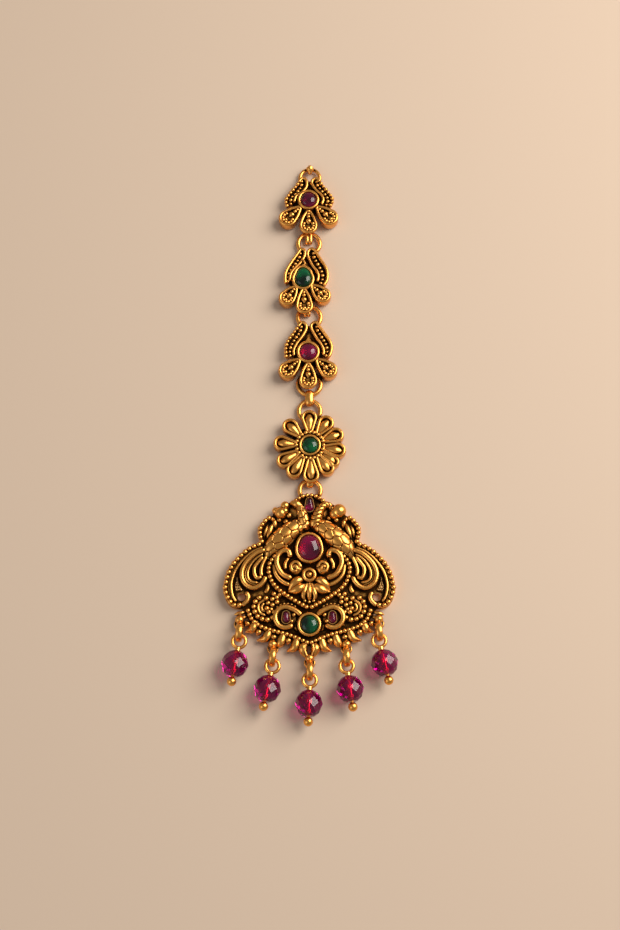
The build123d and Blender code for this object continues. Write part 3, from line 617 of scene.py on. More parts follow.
def beaded_petal(bearing, reach, under, tip):
    """A petal of a plaque: rim, a row of grains along its middle and smaller ones round them."""
    length = reach - PETAL_START - PETAL_ROOT - tip
    shell = turned(petal_outline(length, PETAL_ROOT, tip), rim_profile(under, 0.7, PETAL_FIELD))
    middles = [ball(-0.25, 0, 2.5, 0.3), ball(0.35, 0, 2.55, 0.4), ball(1.1, 0, 2.6, 0.46)]
    middles += [grain((1.4, 0), (2.85, 0), 0.68, 2.45, 0.9), ball(length + 0.62, 0, 2.5, 0.46)]
    around = []
    for k, angle in enumerate((-118, -86, -52, -20, 20, 52, 86, 118)):
        a = math.radians(angle)
        out = tip - 0.98
        size = 0.42 + 0.05 * (k % 2)
        around.append(ball(length + out * math.cos(a), out * math.sin(a), 2.42, size, 1, 12))
    place = [moved(part, PETAL_START + PETAL_ROOT) for part in [shell] + middles + around]
    out = [moved(part, bearing=bearing) for part in place]
    return out[:1], out[1:]


def band(inner, outer, knurled):
    """A beaded band: a sunk field between two wires that meet in a rounded end, and its beads."""
    inner_line, outer_line = smooth(inner, 0.3), smooth(outer, 0.3)
    field = slab(np.vstack((inner_line, outer_line[::-1])), 0, BAND_TOP)
    hairpin = list(inner[::-1]) + list(outer[:1] if knurled else outer)
    wires = [wire(hairpin, 0.36, 2.3, 1.25)]
    beads = []
    if knurled:
        wires.append(wire(outer[1:], 0.3, 1.95, 1.3))
        beads += bead_row(outer, 0.9, 0.43, 2.35, 0.1)
    middle = []
    for share in np.linspace(0.1, 1.0, 8):
        a = inner_line[round(share * (len(inner_line) - 1))]
        b = outer_line[round(share * (len(outer_line) - 1))]
        middle.append(tuple((a + b) / 2))
    beads += bead_row(middle, 0.98, 0.42, 2.05, 0.14)
    return field, wires, beads


def setting(name, low=0.0):
    """The collet of a stone."""
    stone = STONES[name]
    return collet(stone.outline, stone.wall, low, stone.lip, stone.seat)


def hidden_eye(x, y):
    """The squared eye under a petal that a link hangs on."""
    return hoop(x, y, LOOP_HEIGHT, 1.3, 1.25, 0.3, 0.4)


def plaque(recipe):
    """One cast plaque with its collet, bands, petals, ring and hidden eye."""
    core = [slab(round_outline(3.4)(0), 0, 1.3)]
    core_fill = [slab([(-1.3, 2.2), (1.7, 2.2), (1.7, 5.6), (-1.2, 5.6)], 0, 1.1)]
    fields, wires, grains = [], [], []
    for side in ("right", "left"):
        field, strands, beads = band(*recipe[side], side in recipe["knurled"])
        fields.append(field)
        wires.append(strands)
        grains.append(beads)
    petals = [beaded_petal(*row) for row in recipe["petals"]]
    loops = []
    for place in ("ring", "hoop"):
        if place in recipe:
            x, y, radius, thickness = recipe[place]
            loops.append(hoop(x, y, LOOP_HEIGHT, radius, radius, thickness))
    if "eye" in recipe:
        loops.append(hidden_eye(*recipe["eye"]))
    layers = [core, core_fill, fields, [setting(recipe["stone"])]]
    layers += [shell for shell, _ in petals]
    layers += [[strand] for strands in wires for strand in strands] + [loops]
    for beads in grains + [beads for _, beads in petals]:
        layers += [beads[::2], beads[1::2]]
    layers += recipe.get("top", [])
    px, py = origin_of(recipe["stone"], STONES[recipe["stone"]].outline)
    return [[moved(shell, px, py) for shell in layer] for layer in layers]


# ---- Flower -------------------------------------------------------------------------------------
# Petals of the flower: bearing in degrees, underside, half width of the tip, reach.
FLOWER_PETALS = (
    (91.5, OVERHANG, 1.82, 8.25), (55.7, FOOT, 1.82, 8.1), (22.6, FOOT, 1.8, 8.0), (-10, FOOT, 1.8, 8.05),
    (-36, FOOT, 1.4, 7.75), (-54, FOOT, 1.76, 8.05), (-88, OVERHANG, 1.86, 8.65), (-121.5, FOOT, 1.8, 8.45),
    (-149, FOOT, 1.74, 8.35), (175, FOOT, 1.8, 8.1), (134.5, FOOT, 1.8, 8.05),
)


def ridged_petal(bearing, under, tip, reach):
    """A petal of the flower: rolled rim and a long rounded ridge."""
    root, start = 0.92, 2.7
    length = reach - start - root - tip
    shell = turned(drop_outline(length, root, tip), rim_profile(under, 0.7, 2.15))
    ridge = sweep([(-0.4, 0, 2.2, 0.5), (length * 0.3, 0, 2.25, 0.75), (length * 0.8, 0, 2.3, 0.98),
                   (length + tip - 1.5, 0, 2.2, 0.74)], 0.72, 20)
    out = [moved(part, start + root) for part in (shell, ridge)]
    return [moved(part, bearing=bearing) for part in out]


def flower():
    """The flower: eleven petals round a beaded collet, its ring and its hidden eye."""
    petals = [ridged_petal(*row) for row in FLOWER_PETALS]
    x, y = place_of("flower_emerald")
    circle = [(3.02 * math.cos(a), 3.02 * math.sin(a)) for a in np.linspace(0, 2 * math.pi, 21)[:-1]]
    beads = [ball(bx, by, 2.75, 0.46, 0.95, 12) for bx, by in circle]
    layers = [[slab(round_outline(4.4)(0), 0, 1.6)]]
    layers += [[petal] for petal, _ in petals[::2]] + [[petal] for petal, _ in petals[1::2]]
    layers.append([ridge for _, ridge in petals])
    layers.append([turned(round_outline(3.3), [(0, 1.2), (0, 2.4), (0.2, 2.6)])])
    layers.append(beads[::2])
    layers.append(beads[1::2])
    layers.append([setting("flower_emerald")])
    layers.append([hoop(-0.05, 8.5, LOOP_HEIGHT, 2.4, 2.4, 0.5)])
    layers.append([hidden_eye(0, -5.36)])
    return [[moved(shell, x, y) for shell in layer] for layer in layers]


# ---- Pendant ------------------------------------------------------------------------------------
# Outline of the plate's right half from the top to the lowest point, measured from the emerald.
PLATE_EDGE = (
    ((0, 29.1), (1.8, 28.85), (3.3, 27.8)),
    ((3.3, 27.8), (5.4, 26.8), (7.5, 25.9), (8.0, 24.4)),
    ((8.0, 24.4), (9.9, 23.3), (11.0, 21.3), (10.7, 18.2)),
    ((10.7, 18.2), (13.2, 17.1), (16.0, 14.7), (17.8, 11.6), (18.5, 8.3), (18.0, 5.6), (16.5, 3.9),
     (14.5, 3.6)),
    ((14.5, 3.6), (12.7, 0.8), (11.0, -0.6), (8.4, -1.65), (5.6, -2.4), (2.9, -3.3), (0, -4.4)),
)
PIERCING = (14.6, 6.2, 0.85)

# Beaded borders of each half: pitch, bead radius, bead height, then places.
BORDERS = {
    "arch": (0.95, 0.46, 2.15, ((0.5, 28.7), (1.35, 28.5), (2.3, 28.0), (3.0, 27.5))),
    "lobe": (1.0, 0.52, 2.1, ((8.85, 23.6), (9.6, 23.0), (10.6, 21.6), (10.8, 20.2), (10.35, 18.3))),
    "wing": (1.12, 0.55, 2.15, ((10.95, 17.65), (12.9, 16.8), (14.8, 15.2), (16.35, 13.45), (17.45, 11.4),
                                (18.0, 9.1), (18.15, 7.8), (17.75, 6.3), (16.8, 4.75), (15.9, 4.25),
                                (15.0, 4.3))),
    "lace": (0.97, 0.5, 2.3, ((6.9, 15.7), (7.65, 14.75), (8.35, 13.8), (8.75, 12.6), (8.7, 11.3), (8.1, 9.5),
                              (7.0, 8.05), (5.6, 6.9), (3.9, 5.75), (2.1, 4.7), (0.55, 3.85))),
    "hem": (0.97, 0.5, 2.15, ((13.15, 3.1), (12.3, 1.2), (10.9, -0.05), (9.2, -0.8), (7.55, -1.3), (5.65, -1.75),
                              (3.9, -2.3), (2.1, -3.05), (0.5, -3.75))),
    "coil": (1.2, 0.57, 2.05, ((10.8, 5.9), (11.7, 4.9), (11.95, 3.7), (11.5, 2.4), (10.8, 1.6), (9.9, 1.25),
                               (8.9, 1.15), (7.9, 1.6))),
    "halo": (0.78, 0.27, 2.0, ((3.1, 4.05), (4.0, 4.5), (5.0, 4.6), (6.0, 4.4), (6.9, 3.9))),
}

# Raised scrolls of each half: half width, crest height, then places.
SCROLLS = {
    "wing_band": (0.6, 2.0, ((11.2, 16.9), (12.7, 16.35), (14.5, 14.9), (16.1, 12.9), (17.05, 10.8), (17.4, 9.0),
                              (17.3, 7.2), (16.8, 5.7))),
    "wing_ridge": (0.28, 2.35, ((10.4, 16.9), (12.2, 16.1), (14.1, 14.5), (15.9, 12.1), (16.65, 10.0),
                                (16.85, 8.3), (16.5, 6.4), (15.9, 5.3))),
    "scroll_rim": (0.48, 2.85, ((10.0, 16.3), (11.5, 15.7), (13.1, 14.3), (14.15, 12.8), (14.6, 11.1), (14.3, 9.6),
                                (13.5, 8.6), (12.2, 8.0), (10.9, 8.4), (9.9, 9.3), (9.5, 10.1))),
    "scroll_lip": (0.28, 2.4, ((10.3, 15.4), (11.6, 14.5), (12.7, 13.1), (13.3, 11.6), (13.2, 10.2), (12.4, 9.4),
                              (11.4, 9.2))),
    "scroll_rib": (0.3, 2.2, ((10.9, 15.6), (12.2, 14.5), (13.3, 12.9), (13.9, 11.3), (13.7, 9.9),
                                (12.9, 9.1), (11.8, 8.75))),
    "inner_rim": (0.4, 2.6, ((10.3, 14.6), (11.2, 13.5), (11.85, 12.5), (11.85, 11.2), (11.3, 10.2),
                              (10.65, 10.35))),
    "inner_rib": (0.36, 2.5, ((9.45, 14.7), (10.2, 13.0), (10.45, 11.6), (10.3, 10.9))),
    "wing_curl": (0.48, 2.6, ((14.1, 4.5), (13.4, 5.2), (13.1, 6.1), (13.4, 6.8))),
    "heart": (0.55, 3.0, ((4.25, 15.55), (4.5, 16.1), (5.1, 16.35), (6.0, 16.05), (6.75, 15.2), (7.05, 13.9),
                          (6.85, 12.8), (6.25, 11.6), (5.4, 10.75), (4.3, 10.3))),
    "heart_leaf": (0.5, 2.35, ((7.6, 13.0), (7.3, 11.3), (6.4, 10.0), (5.3, 9.2), (4.6, 8.9))),
    "heart_fin": (0.36, 2.3, ((4.7, 14.4), (5.2, 13.4), (5.2, 12.5))),
    "coil_ring": (0.32, 2.15, ((9.8, 5.4), (10.8, 4.7), (11.0, 3.6), (10.5, 2.6), (9.7, 2.2))),
    "coil_core": (0.3, 2.05, ((9.9, 4.6), (10.25, 3.9), (10.0, 3.2), (9.5, 3.1))),
    "low_leaf": (0.5, 1.8, ((9.3, 7.4), (8.9, 8.3), (9.1, 9.1))),
}
SCROLL_FOOT = 0.8
# The broad sunk ribbon of a side scroll lies between these two.
RIBBON = ("scroll_rim", "scroll_lip")
RIBBON_TOP = 1.85

GRAPES = ((7.0, 6.0), (7.95, 5.6), (6.9, 4.95), (8.85, 4.8), (7.9, 4.35), (9.1, 3.6), (8.2, 3.4), (7.6, 2.8),
          (8.7, 2.75), (6.4, 6.6), (7.6, 6.75), (9.3, 5.8))
GRAPE_BED = ((6.3, 6.7), (9.4, 6.2), (9.6, 3.4), (8.6, 2.3), (7.3, 2.4), (6.7, 4.5))
GRANULES = ((15.5, 10.6), (16.1, 8.6), (15.85, 7.4), (14.9, 7.6), (14.5, 7.7), (15.1, 9.1))

# Leaves that stand alone on each half: start, end, radius, height.
LEAF_GRAINS = (
    ((7.8, 23.7), (7.3, 21.3), 0.55, 1.6), ((7.6, 23.2), (8.5, 23.3), 0.5, 2.0),
    ((7.9, 22.7), (9.2, 18.9), 0.62, 1.6), ((9.0, 22.3), (10.0, 19.2), 0.45, 1.5),
    ((13.5, 2.95), (16.2, 2.3), 0.5, 1.5), ((13.1, 2.0), (15.6, 1.3), 0.5, 1.4),
    ((3.2, 0.4), (2.6, -1.2), 0.4, 1.5), ((6.2, 0.1), (7.6, 0.1), 0.35, 1.4),
)

# Feathered body of a peacock, breast to tail: x, y, height, half width.
PEACOCK_BODY = ((1.0, 22.6, 1.6, 1.2), (2.3, 21.8, 1.6, 1.85), (3.9, 20.7, 1.6, 2.2),
                (5.6, 19.3, 1.6, 2.35), (7.25, 17.9, 1.55, 2.15), (8.5, 16.5, 1.5, 1.7),
                (9.15, 15.1, 1.45, 0.85))
RIGHT_NECK = ((1.25, 22.3, 2.3, 1.35), (1.7, 23.7, 2.6, 1.25), (2.15, 24.9, 2.75, 1.0), (2.8, 25.9, 2.75, 0.82),
              (3.65, 26.5, 2.6, 0.72), (4.5, 26.3, 2.4, 0.62), (4.85, 25.5, 2.1, 0.5))
LEFT_NECK = ((-1.0, 22.0, 2.3, 1.35), (-1.25, 23.3, 2.6, 1.25), (-1.6, 24.5, 2.8, 1.1), (-2.0, 25.5, 2.8, 0.85))
LEFT_HEAD = ((-2.0, 26.2, 2.6, 0.6), (-2.8, 26.6, 2.6, 0.9), (-3.6, 26.9, 2.4, 0.6))
# Buds behind the heads: x, y, height, radius.
BUDS = ((6.5, 25.15, 2.0, 1.6), (5.5, 24.5, 2.1, 1.2), (4.3, 23.6, 1.7, 0.55), (5.9, 23.2, 1.7, 0.6),
        (-6.25, 24.7, 1.9, 1.35), (-5.3, 26.4, 1.9, 0.98), (-5.35, 25.1, 2.5, 0.75), (-7.35, 25.3, 1.7, 0.8),
        (-4.4, 24.2, 1.9, 0.62), (-5.1, 22.8, 1.7, 0.6), (-6.6, 23.3, 1.6, 0.6))

# Lotus fringe of each half: root, bend and tip of the horn, root and tip of the leaf.
FRINGE = (
    ((11.6, 0.4), (12.3, -0.8), (13.5, -1.3), (12.9, 0.9), (13.6, -0.1)),
    ((8.6, -1.3), (9.35, -2.7), (11.0, -3.2), (10.5, -0.7), (11.1, -2.2)),
    ((5.6, -2.3), (6.25, -3.8), (7.7, -4.4), (7.4, -1.8), (7.8, -3.3)),
    ((2.6, -3.0), (3.15, -4.7), (4.6, -5.5), (4.3, -2.5), (4.6, -4.1)),
)
CRESCENT = (5.05, 1.65, 2.25)
BLOSSOM = 10.85


def feathers(seed, length, around, depth, pitch=(1.9, 1.7)):
    """Gives the cut between irregular feathers laid over a body of a length and girth."""
    rng = random.Random(seed)
    seeds = []
    columns = max(3, round(around / pitch[1]))
    for i in range(-1, round(length / pitch[0]) + 2):
        for k in range(columns):
            seeds.append(((i + 0.5 * (k % 2) + rng.uniform(-0.2, 0.2)) * pitch[0],
                          (k + rng.uniform(-0.2, 0.2)) * around / columns))
    seeds = np.array(seeds)

    def carve(distance, angles, radius):
        across = np.mod(angles, 2 * math.pi) * around / (2 * math.pi)
        side = abs(seeds[:, 1][None] - across[:, None])
        gaps = np.hypot(seeds[:, 0][None] - distance, np.minimum(side, around - side))
        gaps.sort(axis=1)
        groove = np.clip(1 - (gaps[:, 1] - gaps[:, 0]) / 0.3, 0, 1) ** 1.3
        crown = np.clip(gaps[:, 0] / pitch[0], 0, 1) ** 2 * 0.4
        return (groove + crown) * depth * min(1.0, radius)
    return carve


def barred(pitch, depth, slant=0.35):
    """Gives the cut of rings that cross a neck at a pitch, leaning a little."""
    def carve(distance, angles, radius):
        wave = np.mod(distance + slant * np.sin(angles * 2), pitch) / pitch
        groove = np.clip(1 - np.minimum(wave, 1 - wave) / 0.16, 0, 1) ** 1.3
        crown = (2 * abs(wave - 0.5)) ** 2 * 0.5
        return (groove + crown) * depth
    return carve


def ridge(places, half_width, crest, foot=SCROLL_FOOT):
    """A tall rounded ridge that stands on the plate along a smooth curve."""
    middle = crest - 0.8 * half_width
    return sweep([(x, y, middle, half_width) for x, y in places], 0.8, 16, depth=(middle - foot) / half_width)


def plate_shell():
    """The pendant's plate from both halves of its outline."""
    right = []
    for curve in PLATE_EDGE:
        right += list(smooth(curve, 0.4))[:-1]
    right.append(np.array(PLATE_EDGE[-1][-1], float))
    left = [(-x, y) for x, y in right[1:-1]]
    return slab(np.array([tuple(place) for place in right] + left[::-1]), 0, PLATE_TOP, 0.12)


def ribbon(side):
    """The broad sunk ribbon of a side scroll."""
    outer, inner = (smooth(mirrored(SCROLLS[name][2], side), 0.35) for name in RIBBON)
    return slab(np.vstack((outer, inner[::-1])), 0.8, RIBBON_TOP, 0.05)


def granules(side):
    """The granulated corner of a wing."""
    bed = slab(mirrored(GRANULES, side), 0.8, 1.75, 0.1)
    grains = []
    for row in range(8):
        y = 7.75 + 0.36 * row
        start, end = 14.75 + 0.32 * (y - 7.6), 15.85 + 0.2 * min(y - 7.4, 1.2) - 0.32 * max(y - 8.6, 0)
        places = max(1, round((end - start) / 0.37))
        grains += [(start + (k + 0.5) * (end - start) / places, y) for k in range(places)]
    return bed, [ball(side * x, y, 1.78, 0.165, 1, 8) for x, y in grains]


def blossom():
    """The flower between the peacocks: ringed eye, curled lobes, leaves and a tulip below."""
    y = BLOSSOM
    eye = [turned(round_outline(1.5), [(0, 0.9), (0, 2.35), (0.12, 2.5)])]
    layers = [eye, [hoop(0, y, 2.6, 1.22, 1.22, 0.38)], [ball(0, y, 2.65, 0.68)]]
    layers[0] = [moved(eye[0], 0, y)]
    lobes, curls, hearts, halves, others, tulip = [], [], [], [], [], []
    for side in (1, -1):
        lobes.append(ball(side * 2.85, y + 1.5, 1.7, 1.5, 0.75, 24))
        curl = [(1.9, y + 1.9), (2.4, y + 2.7), (3.3, y + 2.75), (3.95, y + 1.9), (3.6, y + 0.9), (2.8, y + 0.85)]
        curls.append(wire(mirrored(curl, side), 0.42, 2.5, 1.2))
        hearts.append(wire(mirrored([(2.5, y + 1.2), (2.9, y + 1.9), (3.3, y + 1.75)], side), 0.36, 2.9))
        for shift, group in ((0.56, halves), (-0.56, others)):
            rows = [(1.0 + 0.3 * shift, y - 1.45 + shift, 1.9, 0.4), (2.1 + 0.45 * shift, y - 1.9 + 1.35 * shift, 2.0, 0.98),
                    (3.2 + 0.4 * shift, y - 2.6 + 1.2 * shift, 1.9, 0.95), (4.25, y - 3.4 + 0.4 * shift, 1.7, 0.4)]
            group.append(sweep(mirrored(rows, side), 1.1, 16, 0.25))
        tulip.append(sweep(mirrored([(0.45, y - 1.9, 2.0, 0.4), (1.0, y - 3.4, 2.1, 0.62), (1.3, y - 4.6, 2.0, 0.5),
                                     (0.95, y - 5.4, 1.8, 0.25)], side), 1.1, 14, 0.25))
    stem = [sweep([(0, y - 1.8, 2.1, 0.4), (0, y - 3.3, 2.35, 0.62), (0, y - 4.6, 2.2, 0.5), (0, y - 5.4, 1.9, 0.25)],
                  1.1, 14, 0.25)]
    drops = [ball(x, y - 5.85 + 0.25 * abs(x), 1.9, 0.38) for x in (-0.95, 0, 0.95)]
    return layers[:1] + [lobes, halves, others, tulip, stem, drops, curls, hearts] + layers[1:]


def crescent(side):
    """The open crescent round a side ruby, its ends curled to small balls."""
    x, y, radius = CRESCENT
    arc = [(x + radius * math.cos(math.radians(a)), y + radius * math.sin(math.radians(a)))
           for a in (125, 90, 55, 20, -15, -50, -85, -120)]
    horn = [(x - 3.0, y + 0.75), (x - 2.35, y + 1.3)]
    rim = ridge(mirrored(horn + arc, side), 0.52, 2.9)
    bowl = [(x + (radius - 0.1) * math.cos(a), y + (radius - 0.1) * math.sin(a))
            for a in np.linspace(0, 2 * math.pi, 33)[:-1]]
    return rim, slab(mirrored(bowl, side), 0.5, 1.9, 0.05), [
        ball(side * (x - 1.75), y + 0.55, 2.1, 0.48), ball(side * (x - 1.3), y - 0.85, 2.1, 0.46)]


def lotus_bud():
    """The bud at the pendant's lowest point, in two grooved halves."""
    halves = []
    for side in (1, -1):
        rows = [(0.45, -3.9, 1.5, 0.5), (1.2, -4.6, 1.6, 0.98), (1.25, -5.5, 1.55, 0.98), (0.45, -7.0, 1.4, 0.3)]
        halves.append([sweep(mirrored(rows, side), 1.05, 16, 0.2)])
    ribs = [wire(mirrored([(0.75, -4.3), (0.95, -5.4), (0.5, -6.6)], side), 0.2, 2.5) for side in (1, -1)]
    return halves + [ribs]


def half_relief(side):
    """Layers of what stands on one half of the plate and is mirrored on the other."""
    layers = {"fields": [ribbon(side), slab(mirrored(GRAPE_BED, side), 0.8, 1.6, 0.2)]}
    layers["granule_bed"], layers["granules"] = granules(side)
    layers["granule_bed"] = [layers["granule_bed"]]
    for name, (pitch, radius, height, places) in BORDERS.items():
        layers[f"{name}_base"] = [ridge(mirrored(places, side), 0.8 * radius, height - 0.1)]
        row = bead_row(mirrored(places, side), pitch, radius, height, 0.05)
        layers[f"{name}_beads"], layers[f"{name}_others"] = row[::2], row[1::2]
    for name, (half_width, crest, places) in SCROLLS.items():
        layers[name] = [ridge(mirrored(places, side), half_width, crest)]
    leaves = [grain(*mirrored([start, end], side), radius, height, 1.3)
              for start, end, radius, height in LEAF_GRAINS]
    layers["leaves"], layers["leaves_between"] = leaves[::2], leaves[1::2]
    grapes = [ball(side * x, y, 1.8 + 0.16 * (i % 3), 0.55) for i, (x, y) in enumerate(GRAPES)]
    layers["grapes"], layers["grapes_between"], layers["grapes_last"] = grapes[::3], grapes[1::3], grapes[2::3]
    layers["heart_ball"] = [ball(side * 4.2, 15.3, 2.3, 0.68)]
    layers["horns"] = [sweep(mirrored([(*root, 1.3, 0.95), (*bend, 1.3, 0.98), (*tip, 1.2, 0.25)], side),
                             1.1, 16, 0.2) for root, bend, tip, _, _ in FRINGE]
    layers["fringe_leaves"] = [grain(*mirrored([root, tip], side), 0.72, 1.5, 1.2)
                               for _, _, _, root, tip in FRINGE]
    rim, bowl, ends = crescent(side)
    layers["crescent"], layers["bowl"], layers["crescent_ends"] = [rim], [bowl], ends
    return layers


def pendant():
    """The whole cast pendant as layers of shells."""
    layers = [[plate_shell()]]
    right, left = half_relief(1), half_relief(-1)
    layers += [right[name] + left[name] for name in right]
    layers += blossom()
    for side in (1, -1):
        layers.append([sweep(mirrored(PEACOCK_BODY, side), 0.95, 90, 0.09,
                             feathers(7 + side, 11.5, 13.5, 0.3, (2.3, 1.9)), 0.5)])
    layers.append([sweep(RIGHT_NECK, 1.0, 64, 0.07, barred(0.95, 0.2))])
    layers.append([sweep(LEFT_NECK, 1.0, 64, 0.08, feathers(3, 4.5, 7.5, 0.28, (1.5, 1.6)))])
    layers.append([sweep(LEFT_HEAD, 0.9, 16, 0.2)])
    layers += [[ball(x, y, z, radius, 0.95, 24)] for x, y, z, radius in BUDS]
    layers += lotus_bud()
    x, y = place_of("pendant_emerald")
    for name in ("pendant_oval_ruby", "pendant_emerald", "pendant_crest_ruby", "pendant_right_ruby",
                 "pendant_left_ruby"):
        sx, sy = origin_of(name, STONES[name].outline)
        layers.append([moved(setting(name, 0.5), sx - x, sy - y)])
    layers.append([hoop(0.2, 30.1, LOOP_HEIGHT, 2.3, 2.3, 0.5)])
    lugs, covers = [], []
    for name in DROPS:
        ring_x, ring_y = place_of(f"{name}_drop_ring")
        lugs.append(hoop(ring_x - x, ring_y - y + 1.85, 1.2, 0.98, 0.98, 0.26, 1, 14, 36))
        covers.append(grain((ring_x - x, ring_y - y + 3.9), (ring_x - x, ring_y - y + 1.7), 1.0, 1.6, 1.05, 18))
    layers += [lugs, covers]
    holes = []
    for side in (1, -1):
        hx, hy, radius = PIERCING
        holes.append(moved(turned(round_outline(radius, 24), [(0, -0.5), (0, 4)]), side * hx, hy))
    return [[moved(shell, x, y) for shell in layer] for layer in layers], [moved(hole, x, y) for hole in holes]


# ---- Links and drops ----------------------------------------------------------------------------
# Each link stands upright: how many loops lie side by side, and the thickness of its wire.
LINKS = {"first_link": (2, 0.36), "second_link": (2, 0.36), "bail": (1, 0.62), "pendant_link": (1, 0.4)}
BEAD_RADIUS = 2.93       # to the corners of the facets
BEAD_SIDES = 8
PIN_EYE_DROP = 2.0       # from the middle of a drop ring to the pin's eye
PIN_SLOPE = math.radians(4.1)


def standing_loops(node, count, thickness):
    """Upright loops side by side that fill the box of a CAD link."""
    low, high = (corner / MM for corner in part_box(node))
    middle, half = (low + high) / 2, (high - low) / 2
    width = half.x / count
    layers = []
    for i in range(count):
        points, faces = hoop(0, 0, 0, half.y - thickness, half.z - thickness, thickness, 0.92, 20)
        side = middle.x + width * (2 * i + 1 - count)
        across = points[:, 2] * width / thickness * (1.04 if count > 1 else 1.0)
        across = np.clip(across, low.x - side, high.x - side)
        layers.append([(np.column_stack((side + across, middle.y + points[:, 0],
                                         middle.z + points[:, 1])), faces)])
    return layers


def facet_rings():
    """Radius and distance from the middle of each ring of facet corners, so facets lie flat."""
    half_turn = math.pi / BEAD_SIDES
    rings = [(BEAD_RADIUS, 0.0), (BEAD_RADIUS * math.cos(half_turn), BEAD_RADIUS * math.sin(half_turn))]
    while len(rings) < 5:
        (radius, height), (next_radius, next_height) = rings[-2:]
        step_in = next_radius * math.cos(half_turn) - radius
        step_up = next_height - height
        reach = -2 * (radius * step_in + height * step_up) / (step_in ** 2 + step_up ** 2)
        rings.append((radius + reach * step_in, height + reach * step_up))
    return rings


def faceted_bead():
    """A bead along Y cut in rows of diamond facets, one row of them facing up and to the right."""
    rings, half_turn = facet_rings(), math.pi / BEAD_SIDES
    last = len(rings) - 1
    found, points, facets = {}, [], []

    def corner(ring, step):
        key = (ring, step % (2 * BEAD_SIDES))
        if key not in found:
            radius, height = rings[abs(ring)]
            angle = half_turn * (step + 2)
            found[key] = len(points)
            points.append((radius * math.cos(angle), math.copysign(height, ring), radius * math.sin(angle)))
        return found[key]

    for row in range(1 - last, last):
        for i in range(BEAD_SIDES):
            middle = 2 * i + 1 - row % 2
            facets.append([corner(row - 1, middle), corner(row, middle + 1),
                           corner(row + 1, middle), corner(row, middle - 1)])
    for end in (last, -last):
        inner = end - 1 if end > 0 else end + 1
        for i in range(BEAD_SIDES):
            middle = 2 * i + inner % 2
            facets.append([corner(inner, middle), corner(end, middle + 1), corner(end, middle - 1)])
        facets.append([corner(end, 2 * i + end % 2) for i in range(BEAD_SIDES)])
    points = np.array(points)
    outward = []
    for facet in facets:
        a, b, c = points[facet[:3]]
        faces_out = np.dot(np.cross(b - a, c - a), points[facet].mean(axis=0)) > 0
        outward.append(tuple(facet if faces_out else facet[::-1]))
    return points, outward


def lying_bead(name):
    """A drop's bead, leaning from its ring as its pin does."""
    low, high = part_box(f"{name}_drop_bead")
    centre = (low + high) / 2 / MM
    ring_x, ring_y = place_of(f"{name}_drop_ring")
    lean = math.degrees(math.atan2(centre.x - ring_x, ring_y - PIN_EYE_DROP - centre.y))
    points, facets = faceted_bead()
    c, s = math.cos(PIN_SLOPE), math.sin(PIN_SLOPE)
    points = points @ np.array(((1, 0, 0), (0, c, -s), (0, s, c)))
    return moved((points, facets), centre.x, centre.y, centre.z, lean)


def dress(node, finish):
    """Gives a CAD node a finish without touching its mesh."""
    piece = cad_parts[node]
    if not piece.material_slots:
        raise RuntimeError(f"{node} has no material slot")
    for place in piece.material_slots:
        place.material = finish


def bead_glass(settings):
    """Clear magenta glass of the drop beads."""
    finish, tree, shader = new_finish("magenta_bead_glass")
    place = add(tree, "TexCoord").outputs["Object"]
    cloud = spread(tree, noise(tree, place, 500.0, 2.0), 0.35, 0.7)
    tree.links.new(blend_colours(tree, cloud, settings.bead_deep, settings.bead_bright),
                   shader.inputs["Base Color"])
    tree.links.new(spread(tree, noise(tree, place, 1500.0), 0.3, 0.7, 0.004, 0.018),
                   shader.inputs["Roughness"])
    socket(shader, "IOR", 1.46)
    socket(shader, "Transmission Weight", 0.93)
    return finish


# ---- Stage --------------------------------------------------------------------------------------
AIM = Vector((0.042, -7.434, 0)) * MM
CAMERA_DISTANCE = 0.3278
CAMERA_ELEVATION = math.radians(74)


def area_light(name, offset, size, energy, colour):
    """A window-shaped lamp that faces the middle of the jewel."""
    lamp = bpy.data.lights.new(name, "AREA")
    lamp.shape = "RECTANGLE"
    lamp.size, lamp.size_y = size
    lamp.energy = energy
    lamp.color = colour
    holder = bpy.data.objects.new(name, lamp)
    holder.location = AIM + Vector(offset)
    holder.rotation_euler = (-Vector(offset)).to_track_quat("-Z", "Y").to_euler()
    bpy.context.scene.collection.objects.link(holder)


def floor_finish(settings):
    """A plain matt tabletop."""
    finish, _, shader = new_finish("plain_tabletop")
    socket(shader, "Base Color", (*settings.floor_colour, 1.0))
    socket(shader, "Roughness", 0.75)
    return finish


# ---- Settings -----------------------------------------------------------------------------------
def colour_property(name, description, default):
    """A colour that can be changed in the sidebar."""
    return FloatVectorProperty(name=name, description=description, default=default, size=3, min=0, max=1,
                               subtype="COLOR")


